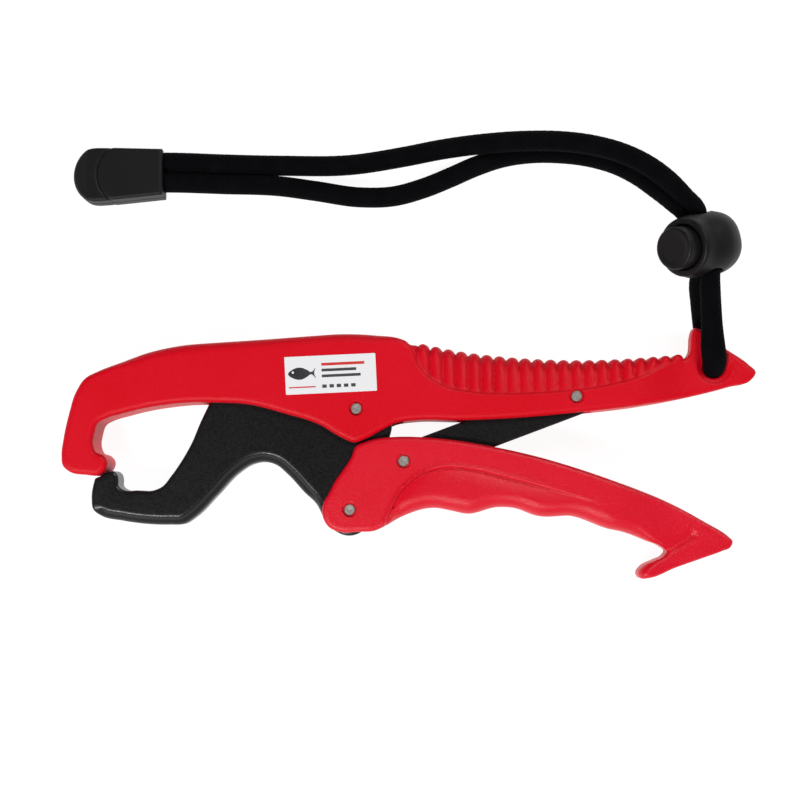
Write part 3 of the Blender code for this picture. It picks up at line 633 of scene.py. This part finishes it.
def moulded(name, colour, pale, roughness, grain_scale, grain_depth, specular=0.45):
    """Moulded plastic: fine grain, faint flow marks, painted highlights on convex edges and painted
    shade in creases and hollows.
    """
    made, tree, shader = shader_of(name, roughness, specular)
    flow = noise(tree, 30.0, 3.0)
    grain = noise(tree, grain_scale, 2.0, 0.6)
    edge = tree.nodes.new("ShaderNodeNewGeometry")
    # painted highlight: paler colour on convex edges, read from Pointiness
    edge_highlight_mask = spread(tree, edge.outputs["Pointiness"], 0.52, 0.60, 0.0, 0.55)
    base = layer(tree, spread(tree, flow.outputs["Fac"], 0.3, 0.7, 0.0, 0.35), colour, pale)
    painted_edge_highlight = layer(tree, edge_highlight_mask, base, pale)
    # painted shade: colour darkened to about a third in creases and hollows, read from Pointiness
    hollow = spread(tree, edge.outputs["Pointiness"], 0.485, 0.41, 0.0, 0.6)
    painted_crease_shade = layer(tree, hollow, painted_edge_highlight, tuple(c * 0.35 for c in colour))
    tree.links.new(painted_crease_shade, shader.inputs["Base Color"])
    rough = spread(tree, grain.outputs["Fac"], 0.3, 0.7, roughness - 0.07, roughness + 0.09)
    tree.links.new(rough, shader.inputs["Roughness"])
    bump(tree, shader, grain.outputs["Fac"], grain_depth)
    return made


def metal(name, colour, roughness):
    """Cut steel: very fine unevenness and dull patches."""
    made, tree, shader = shader_of(name, roughness, 0.5, 1.0)
    patch = noise(tree, 900.0, 4.0)
    dull = tuple(c * 0.62 for c in colour)
    shade = layer(tree, spread(tree, patch.outputs["Fac"], 0.35, 0.65), colour, dull)
    tree.links.new(shade, shader.inputs["Base Color"])
    tree.links.new(spread(tree, patch.outputs["Fac"], 0.3, 0.7, roughness, roughness + 0.25),
                   shader.inputs["Roughness"])
    scratch = noise(tree, 4200.0, 2.0)
    bump(tree, shader, scratch.outputs["Fac"], 0.00003)
    return made


def fabric(name):
    """Soft braided cord: dull, with loose fibres catching a little light."""
    made, tree, shader = shader_of(name, 0.85, 0.04)
    shader.inputs["Sheen Weight"].default_value = 0.02
    shader.inputs["Sheen Roughness"].default_value = 0.5
    fluff = noise(tree, 2600.0, 3.0)
    patch = noise(tree, 160.0, 2.0)
    soft = layer(tree, fluff.outputs["Fac"], (0.0006, 0.0006, 0.0010), (0.0030, 0.0028, 0.0040))
    dust = spread(tree, patch.outputs["Fac"], 0.45, 0.75, 0.0, 0.5)
    dusty = layer(tree, dust, soft, (0.0040, 0.0036, 0.0046))
    tree.links.new(dusty, shader.inputs["Base Color"])
    bump(tree, shader, fluff.outputs["Fac"], 0.00012, 0.6)
    return made


def make_materials():
    return {
        "red": moulded("red_nylon", (0.69, 0.0002, 0.0090), (0.76, 0.006, 0.026),
                       0.42, 2100.0, 0.00012, 0.16),
        "red_rough": moulded("red_nylon_rough", (0.73, 0.0006, 0.0150), (0.80, 0.012, 0.040),
                             0.37, 2100.0, 0.00014, 0.34),
        "black": moulded("black_nylon", (0.0058, 0.0054, 0.0060), (0.013, 0.012, 0.013),
                         0.32, 1800.0, 0.000004, 0.42),
        "lock": moulded("lock_polymer", (0.0050, 0.0040, 0.0046), (0.012, 0.010, 0.0105),
                        0.48, 2400.0, 0.00002, 0.22),
        "cap": moulded("cap_polymer", (0.0070, 0.0062, 0.0070), (0.015, 0.0135, 0.0145),
                       0.50, 2800.0, 0.00003, 0.22),
        "wire": metal("spring_wire", (0.62, 0.61, 0.60), 0.25),
        "steel": metal("cut_steel", (0.52, 0.47, 0.43), 0.42),
        "cord": fabric("cord_fabric"),
        "film": moulded("sticker_film", (0.86, 0.86, 0.88), (0.90, 0.90, 0.91), 0.32, 500.0, 0.00001),
        "ink": moulded("sticker_ink", (0.045, 0.045, 0.05), (0.07, 0.07, 0.075), 0.4, 900.0, 0.00001),
        "ink_red": moulded("sticker_ink_red", (0.60, 0.02, 0.015), (0.7, 0.05, 0.04),
                           0.4, 900.0, 0.00001),
    }


# ---- the tool ----------------------------------------------------------------------
def make_upper_body(mats):
    """Red moulding: hooked head and ribbed handle, both hollow, and the fin."""
    low, high = (-109.0, -27.0), (149.0, 33.0)
    ring = outline(BODY_FRONT + rib_line() + BODY_TAIL)
    shape = Plan(ring, low, high)
    scoop = Plan(outline(SCOOP, 1.0), low, high)
    head = Plan(HEAD_POCKET, low, high)
    tail = Plan(TAIL_POCKET, low, high)

    def field(x, y, z):
        flat = shape(x, y)
        deep = -scoop(x, y)
        valley = 1 - rib_bump(x)
        in_ribs = ramp((x - RIB_START + 4.4) / 1.2) * ramp((RIB_END - x) / 1.2)
        over_pocket = ramp((x - 48) / 10) * ramp((94 - x) / 6) * ramp((15.5 - y) / 4)
        dent = 1.35 - 0.65 * over_pocket
        sink = (0.5 * ramp(deep / 0.6) + 0.08 * np.maximum(deep, 0)
                + 0.012 * np.maximum(deep, 0) ** 2 + dent * valley * in_ribs * ramp((deep - 0.3) / 2.2))
        thin = ramp((x - FIN_TAPER[0]) / (FIN_TAPER[1] - FIN_TAPER[0]))
        from_hole = np.hypot(x - FIN_HOLE[0], y - FIN_HOLE[1])
        dish = 0.7 * (1 - ramp((from_hole - 5.2) / 1.6))
        half = (MIDDLE - sink) * (1 - thin) + (FIN_HALF - dish) * thin
        crown = 1.7 * ramp((y - 13) / 6) * ramp((16 - x) / 10)
        rim = 1.9 + crown + 0.9 * ramp(deep / 4) * (1 - thin) - 0.4 * thin
        flat = np.maximum(flat, FIN_HOLE_RADIUS - from_hole)
        solid = plate(flat, z, MIDDLE, half, rim)
        for hollow in (head, tail):
            inner = plate(hollow(x, y), z, MIDDLE, POCKET_HALF, 0.8)
            solid = carve(solid, inner, 0.7)
        return solid

    body = moulding("body_moulding", field, (-108.0, -26.5, -1.2), (148.0, 32.0, THICK + 1.2),
                    CELL, mats["red"])
    for centre in (JAW_PIVOT, LINK_REAR):
        drill(body, centre)
    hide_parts("upper_body")
    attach(body, "body")
    return body


def make_lower_jaw(mats):
    """Black jaw, bevelled along its outer edge."""
    low, high = (-99.0, -49.0), (17.0, 12.5)
    shape = Plan(outline(JAW_MOUTH + JAW_OUTER), low, high)
    outer = [Vector(p) for p in JAW_OUTER[2:]]
    edge = []
    for k in range(len(outer) - 1):
        before = outer[k - 1] if k else outer[0] * 2 - outer[1]
        after = outer[k + 2] if k + 2 < len(outer) else outer[-1] * 2 - outer[-2]
        edge.extend(smooth_run(outer[k], tangent(before, outer[k], outer[k + 1]), outer[k + 1],
                               tangent(outer[k], outer[k + 1], after), 4))
    edge = np.array([tuple(p) for p in edge])
    band = Plan(np.concatenate([edge, edge[::-1] + 0.01]), low, high)

    def field(x, y, z):
        flat = shape(x, y)
        near = ramp((6.0 - np.abs(band(x, y)) + 0.5) / 5.0)
        soft = ramp((x + 97.0) / 6.0) * ramp((-9.0 - x) / 8.0)
        into = 3.6 * near * soft + flat
        slope = 0.38 * (into + np.sqrt(into**2 + 0.2))
        return plate(flat, z, MIDDLE, JAW_HALF - slope, 1.0)

    jaw = moulding("jaw_moulding", field, (-98.0, -48.0, 1.8), (16.0, 11.5, THICK - 1.8),
                   CELL, mats["black"])
    mouths = (MIDDLE - JAW_HALF, MIDDLE + JAW_HALF)
    for centre in (JAW_PIVOT, HANDLE_PIVOT):
        drill(jaw, centre, mouths)
    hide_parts("lower_jaw")
    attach(jaw, "jaw")
    return jaw


def make_lower_handle(mats):
    """Red lever: hollow, with finger grooves and a thinner hooked tail."""
    low, high = (-16.0, -66.0), (141.0, -7.0)
    shape = Plan(outline(HANDLE), low, high)
    zone = Plan(outline(FINGER_ZONE, 1.0), low, high)
    channel = Plan(HANDLE_POCKET, low, high)
    run_x, run_y = GROOVE_RUN

    def field(x, y, z):
        flat = shape(x, y)
        deep = -zone(x, y)
        inside = np.maximum(deep, 0)
        fade = 1 - ramp((x - 52) / 42)
        lip = 0.3 * np.exp(-((deep + 0.6) / 0.5) ** 2) * (z > MIDDLE)
        crease = fade * (1.9 * ramp(deep / 0.7) * np.exp(-inside / 3.0) - lip)
        dx, dy = x - GROOVE_START[0], y - GROOVE_START[1]
        along = np.clip((dx * run_x + dy * run_y) / (run_x**2 + run_y**2), 0, 1)
        from_groove = np.hypot(dx - run_x * along, dy - run_y * along)
        groove = GROOVE_DEPTH * np.exp(-((from_groove / GROOVE_WIDTH) ** 2))
        soft = ramp(deep / 3.0) * ramp((x - 9) / 6) * ramp((112 - x) / 12)
        rim = 1.7 + 3.8 * soft - 0.4 * ramp((x - 100) / 12)
        thin = ramp((x - 90.0) / 28.0)
        half = MIDDLE * (1 - thin) + HOOK_HALF * thin
        rim = np.minimum(rim, half - crease - groove - 0.6)
        solid = plate(flat, z, MIDDLE, half - crease - groove, rim)
        inner = plate(channel(x, y), z, MIDDLE, POCKET_HALF, 0.8)
        solid = carve(solid, inner, 0.7)
        lobe = np.hypot(x - HANDLE_PIVOT[0], y - HANDLE_PIVOT[1]) - LOBE_ROOM
        return carve(solid, plate(lobe, z, MIDDLE, POCKET_HALF, 0.8), 0.7)

    handle = moulding("lever_moulding", field, (-15.0, -64.0, -1.2), (140.0, -8.0, THICK + 1.2),
                      CELL, mats["red_rough"])
    for centre in (HANDLE_PIVOT, LINK_FRONT):
        drill(handle, centre)
    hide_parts("lower_handle")
    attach(handle, "lever")
    return handle


def link_matrix():
    """Frame of the link: X from its front pivot to its rear pivot."""
    along = Vector(LINK_REAR) - Vector(LINK_FRONT)
    turn = Matrix.Rotation(math.atan2(along.y, along.x), 4, "Z")
    return Matrix.Translation((*LINK_FRONT, 0)) @ turn, along.length


def make_toggle_link(mats):
    """Black bar, bored for its rear pin and slotted for its front pin."""
    matrix, length = link_matrix()
    half = JAW_HALF - 0.1

    def field(x, y, z):
        along = np.clip(x, 0, length)
        flat = np.hypot(x - along, y - LINK_DROP) - LINK_EYE
        slot_x = np.clip(x, *SLOT_ENDS)
        slot = np.hypot(x - slot_x, y + SLOT_DROP) - SLOT_RADIUS
        flat = np.maximum(flat, -slot)
        return plate(flat, z, MIDDLE, half, 0.8)

    link = moulding("link_moulding", field, (-7.0, -8.5, 2.0), (length + 7.0, 6.5, THICK - 2.0),
                    FINE_CELL, mats["black"], matrix)
    drill(link, LINK_REAR, (MIDDLE - half, MIDDLE + half))
    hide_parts("toggle_link")
    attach(link, "link")
    return link


def make_pin(node, body, centre, mats):
    """Steel pin, ends just below the faces, with a small chamfer and a centre dimple."""
    low, high = PIN_RECESS, THICK - PIN_RECESS
    profile = [(0, low + 0.12), (0.5, low + 0.05), (1.0, low), (1.7, low), (PIN_RADIUS, low + 0.25),
               (PIN_RADIUS, high - 0.25), (1.7, high), (1.0, high), (0.5, high - 0.05), (0, high - 0.12)]
    pin = turned(f"{node}_steel", profile, mats["steel"], Matrix.Translation((*centre, 0)))
    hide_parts(node)
    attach(pin, body)
    return pin


# ---- the lanyard -------------------------------------------------------------------
def lock_matrix():
    """Frame of the cord lock: Y along its cord axis, Z along its button axis."""
    cord = Vector((-math.sin(LOCK_TILT), math.cos(LOCK_TILT), 0))
    flat = Vector((-math.cos(LOCK_TILT), -math.sin(LOCK_TILT), 0))
    button = flat * math.cos(BUTTON_RISE) + Vector((0, 0, math.sin(BUTTON_RISE)))
    side = cord.cross(button)
    turn = Matrix((side, cord, button)).transposed().to_4x4()
    return Matrix.Translation(LOCK_CENTRE) @ turn


def lock_points(side):
    """Straight run of one strand through the lock; side is +1 or -1 across the button axis."""
    matrix = lock_matrix()
    spots = []
    for along, thick in ((12.6, 6.2), (6.5, CORD_IN_LOCK), (-4.5, CORD_IN_LOCK), (-9.0, 5.9)):
        spot = matrix @ Vector((side * STRAND_SPACING / 2, along, CORD_SEAT))
        spots.append((*spot, thick, thick))
    return spots


def fin_turn(first, last):
    """Part of the half turn through the fin hole, where the cord lies flat on the edge."""
    centre_y, centre_z, radius = FIN_BEND
    spots = []
    for k in range(first, last):
        angle = math.pi * (0.5 + k / 6)
        outside = ((k - 3) / 2) ** 2
        spots.append((FIN_HOLE[0] - 0.6 * outside, centre_y + radius * math.cos(angle),
                      centre_z + radius * math.sin(angle), FIN_SQUASH[0] + 1.1 * outside, FIN_SQUASH[1]))
    return spots


def fine_route(points, step):
    """The cord's line and section sizes, read evenly from a smooth curve through points."""
    spots = [Vector(p if len(p) == 5 else (*p, *CORD_SECTION)) for p in points]
    rough = []
    last = len(spots) - 1
    for i in range(last):
        a, b = spots[i], spots[i + 1]
        before = spots[i - 1] if i else a - (b - a)
        after = spots[i + 2] if i + 1 < last else b + (b - a)
        rough.extend(smooth_run(a, tangent(before, a, b), b, tangent(a, b, after), 24))
    rough = np.array([tuple(p) for p in rough] + [tuple(spots[-1])])
    run = np.concatenate([[0], np.cumsum(np.linalg.norm(np.diff(rough[:, :3], axis=0), axis=1))])
    where = np.linspace(0, run[-1], int(run[-1] / step) + 1)
    return where, np.stack([np.interp(where, run, rough[:, k]) for k in range(5)], 1)


def make_strand(name, points, mats):
    """One strand of the lanyard: a tube with the crossing plaits of its braid standing out."""
    sides, step = ((72, 0.36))
    run, route = fine_route(points, step)
    line = route[:, :3]
    along = np.gradient(line, axis=0)
    along /= np.linalg.norm(along, axis=1)[:, None]
    level = np.cross(along, (0, 0, 1.0))
    upright = ramp((np.abs(along[:, 2]) - 0.5) / 0.3)[:, None]
    fixed = -np.array((1.0, 0, 0)) + along * along[:, :1]
    length = np.maximum(np.linalg.norm(level, axis=1), 0.1)[:, None]
    level = level / length * (1 - upright) + fixed * upright
    level /= np.linalg.norm(level, axis=1)[:, None]
    rise = np.cross(level, along)
    angle = 2 * np.pi * np.arange(sides)[None, :] / sides
    lean = BRAID_TURN * run[:, None]
    plait = np.maximum(np.cos(BRAID_PLAITS * angle + lean), np.cos(BRAID_PLAITS * angle - lean))
    swell = BRAID_HEIGHT * (plait - 0.4)
    wide = (route[:, 3:4] / 2 + swell) * np.cos(angle)
    high = (route[:, 4:5] / 2 + swell) * np.sin(angle)
    points = line[:, None] + wide[..., None] * level[:, None] + high[..., None] * rise[:, None]
    rings = len(line)
    index = np.arange(rings * sides).reshape(rings, sides)
    beside = np.roll(index, -1, 1)
    quads = np.stack([index[:-1], beside[:-1], beside[1:], index[1:]], -1).reshape(-1, 4)
    faces = [tuple(q) for q in quads] + [tuple(index[0][::-1]), tuple(index[-1])]
    strand = new_object(name, points.reshape(-1, 3), faces, mats["cord"])
    strand.data.shade_smooth()
    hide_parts("lanyard_cord")
    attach(strand, "body")
    return strand, [place(p) for p in line], run[-1] * MM


def make_lanyard(mats, fittings):
    """The two strands, which meet in the fin hole."""
    near = 1 if (lock_matrix().to_3x3() @ Vector((1, 0, 0))).z > 0 else -1
    upper = UPPER_STRAND + lock_points(near) + NEAR_DROP + fin_turn(1, 4)
    lower = LOWER_STRAND + lock_points(-near) + FAR_DROP + fin_turn(3, 6)[::-1]
    for name, points in (("lanyard_upper", upper), ("lanyard_lower", lower)):
        strand, line, length = make_strand(name, points, mats)


def passage(x, z, half_width, low, high):
    """Distance of a rounded passage along the cord axis."""
    radius = min((high - low) / 2, half_width * 0.5)
    qx = np.abs(x) - half_width + radius
    qz = np.abs(z - (low + high) / 2) - (high - low) / 2 + radius
    return np.hypot(np.maximum(qx, 0), np.maximum(qz, 0)) + np.minimum(np.maximum(qx, qz), 0) - radius


def make_cord_lock(mats):
    """Barrel with a collar, the push button in its bore, and the spring."""
    matrix = lock_matrix()
    radius, root_radius, end = COLLAR
    pocket_radius, pocket_floor = SPRING_POCKET
    reach = CORD_IN_LOCK / 2
    half = STRAND_SPACING / 2 + reach

    def barrel_field(x, y, z):
        across = np.hypot(x, y)
        blunt = LOCK_BLUNT
        swell = np.hypot(x, z) ** blunt + np.abs(y * LOCK_RADIUS / LOCK_END) ** blunt
        solid = swell ** (1 / blunt) - LOCK_RADIUS
        taper = radius + (root_radius - radius) * (1 - z / end)
        solid = join(solid, plate(across - taper, z, end / 2, end / 2, 1.0), 1.4)
        bore = plate(across - BUTTON_BORE, z, (30 + BORE_FLOOR) / 2, (30 - BORE_FLOOR) / 2, 0.3)
        solid = carve(solid, bore, 0.7)
        pocket = np.maximum(across - pocket_radius, np.maximum(pocket_floor - z, z - 2))
        solid = carve(solid, pocket, 0.2)
        gap = 1.0
        way = passage(x, z, half + gap, CORD_SEAT - reach - gap, CORD_SEAT + reach + gap)
        return carve(solid, way, 1.3)

    def button_field(x, y, z):
        across = np.hypot(x, y)
        middle = (BUTTON_FACE + BUTTON_FOOT) / 2
        dish = 0.3 * (1 - ramp((across - 4.6) / 2.0))
        lift = (BUTTON_FACE - BUTTON_FOOT) / 2
        solid = plate(across - BUTTON_RADIUS, z, middle, lift, 1.1)
        solid = np.maximum(solid, z - BUTTON_FACE + dish)
        top = CORD_SEAT + reach + 0.35 + BUTTON_TRAVEL
        return carve(solid, passage(x, z, half + 0.3, CORD_SEAT - reach - 0.35, top), 0.5)

    size = LOCK_RADIUS + 0.8
    barrel = moulding("lock_barrel", barrel_field, (-size, -size, -size), (size, size, end + 0.8),
                      FINE_CELL, mats["lock"], matrix)
    size = BUTTON_RADIUS + 0.8
    button = moulding("lock_button", button_field, (-size, -size, BUTTON_FOOT - 0.8),
                      (size, size, BUTTON_FACE + 0.8), FINE_CELL, mats["lock"], matrix)
    riders = ((barrel, "cord_lock_barrel", "body"), (button, "cord_lock_button", "lock_button"))
    for made, node, body in riders:
        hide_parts(node)
        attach(made, body)
    return [barrel, button, make_spring(mats)]


def make_spring(mats):
    """Coil spring under the button, its turns a little closer at the ends."""
    matrix = lock_matrix()
    low = SPRING_POCKET[1] + 0.3 + SPRING_WIRE
    high = BUTTON_FOOT - 0.3 - SPRING_WIRE
    count = SPRING_TURNS * 40
    points, faces = [], []
    for k in range(count + 1):
        angle = 2 * math.pi * k / 40
        rise = low + (high - low) * float(ramp(k / count) * 0.35 + 0.65 * k / count)
        out = Vector((math.cos(angle), math.sin(angle), 0))
        for j in range(12):
            turn = 2 * math.pi * j / 12
            spot = out * (SPRING_RADIUS + SPRING_WIRE * math.cos(turn))
            points.append((spot.x, spot.y, rise + SPRING_WIRE * math.sin(turn)))
    for k in range(count):
        for j in range(12):
            a, b = k * 12 + j, k * 12 + (j + 1) % 12
            faces.append((a, a + 12, b + 12, b))
    faces.append(tuple(range(12)))
    faces.append(tuple(range(count * 12, count * 12 + 12))[::-1])
    spring = new_object("lock_spring", points, faces, mats["wire"], matrix)
    spring.data.shade_smooth()
    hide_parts("cord_lock_spring")
    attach(spring, "body")
    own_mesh(spring)
    return spring


def make_cord_end(mats):
    """End cap of two shells round the cord ends."""
    low, high = (-107.0, 72.0), (-69.0, 99.0)
    sides = Plan(CAP_SIDES, low, high)
    end_x, end_y, end_radius = CAP_END
    step_x, step_y, step_radius = CAP_STEP
    fall_start, fall = CAP_FALL
    middle = CAP_LOW + CAP_HEIGHT / 2

    def shell(x, y, z):
        flat = -join(-sides(x, y), end_radius - np.hypot(np.minimum(x - end_x, 0), y - end_y), 1.5)
        past = np.where(x < step_x, np.hypot(x - step_x, y - step_y) - step_radius, -9.0)
        drop = (0.55 * ramp(past / 0.4) + 0.45 * np.exp(-((past - 0.5) / 0.4) ** 2)
                + 0.05 * np.maximum(past, 0) + fall * np.maximum(fall_start - x, 0))
        solid = plate(flat, z, middle, CAP_HEIGHT / 2 - drop, 1.1)
        blind_end, radius = CAP_SOCKET
        for cord_y in CAP_CORD_Y:
            hole = np.maximum(np.hypot(y - cord_y, z - middle) - radius, blind_end - x)
            solid = carve(solid, hole, 0.6)
        return solid

    made = []
    for node, sign in (("cord_end_base", 1), ("cord_end_lid", -1)):
        def field(x, y, z):
            return -join(-shell(x, y, z), -(sign * (z - CAP_SPLIT) + 0.12), 0.35)
        reach = sorted((CAP_SPLIT + 0.6 * sign, CAP_SPLIT - 7.0 * sign))
        half = moulding(f"{node}_shell", field, (-105.5, 74.5, reach[0]), (-70.0, 97.5, reach[1]),
                        FINE_CELL, mats["cap"])
        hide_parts(node)
        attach(half, "body")
        made.append(half)
    return made


# ---- the sticker -------------------------------------------------------------------
def fish_outline():
    """Plain side view of a fish, nose to the left, about one unit long."""
    body = [(-0.5, 0.0), (-0.34, 0.15), (-0.08, 0.22), (0.18, 0.13), (0.32, 0.04),
            (0.5, 0.2, CORNER), (0.44, 0.0), (0.5, -0.2, CORNER), (0.32, -0.04), (0.18, -0.13),
            (-0.08, -0.22), (-0.34, -0.15)]
    return outline(body, 0.06)


def make_sticker(mats):
    """Thin film with a plain printed fish, rules and blocks."""
    turn = Matrix.Translation((*LABEL_CENTRE, THICK - 0.02)) @ Matrix.Rotation(LABEL_TILT, 4, "Z")
    half_x, half_y, film = LABEL_SIZE[0] / 2, LABEL_SIZE[1] / 2, LABEL_SIZE[2]
    print_low, print_high = film - 0.01, film + PRINT_PROUD
    points, faces, paint = [], [], []

    def slab(ring, low, high, slot):
        start, count = len(points), len(ring)
        points.extend((x, y, low) for x, y in ring)
        points.extend((x, y, high) for x, y in ring)
        faces.append(tuple(range(start, start + count))[::-1])
        faces.append(tuple(range(start + count, start + 2 * count)))
        for k in range(count):
            j = (k + 1) % count
            faces.append((start + k, start + j, start + count + j, start + count + k))
        paint.extend([slot] * (count + 2))

    def bar(x0, y0, x1, y1, slot):
        slab([(x0, y0), (x1, y0), (x1, y1), (x0, y1)], print_low, print_high, slot)

    ring = []
    for k, (sx, sy) in enumerate(((1, 1), (-1, 1), (-1, -1), (1, -1))):
        for j in range(7):
            angle = math.pi / 2 * (k + j / 6)
            ring.append((sx * (half_x - LABEL_CORNER) + LABEL_CORNER * math.cos(angle),
                         sy * (half_y - LABEL_CORNER) + LABEL_CORNER * math.sin(angle)))
    slab(ring, 0, film, 0)
    fish = fish_outline() * 10.0 + np.array((-10.3, 0.6))
    slab([tuple(p) for p in fish], print_low, print_high, 1)
    slab([tuple(p) for p in circle((-13.6, 1.1), 0.42, 20)], film + 0.01, film + 0.035, 0)
    for k, wide in enumerate((15.5, 12.5, 14.0)):
        y = 3.6 - 2.1 * k
        bar(-3.2, y - 0.5, -3.2 + wide, y + 0.5, 2 if k == 0 else 1)
    for k in range(5):
        bar(-3.2 + 2.6 * k, -4.9, -1.6 + 2.6 * k, -3.7, 1)
    bar(-15.2, -4.55, -5.6, -4.1, 2)
    sticker = new_object("sticker", points, faces, mats["film"], turn)
    for finish in (mats["ink"], mats["ink_red"]):
        sticker.data.materials.append(finish)
    for face, slot in zip(sticker.data.polygons, paint):
        face.material_index = slot
    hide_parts("side_label")
    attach(sticker, "body")


# ---- build -------------------------------------------------------------------------
make_camera()
make_stage()
MATS = make_materials()
make_lanyard(MATS, make_cord_lock(MATS) + make_cord_end(MATS))
make_upper_body(MATS)
make_lower_jaw(MATS)
make_lower_handle(MATS)
make_toggle_link(MATS)
make_pin("jaw_pivot_pin", "body", JAW_PIVOT, MATS)
make_pin("handle_pivot_pin", "jaw", HANDLE_PIVOT, MATS)
make_pin("link_front_pin", "lever", LINK_FRONT, MATS)
make_pin("link_rear_pin", "body", LINK_REAR, MATS)
make_sticker(MATS)
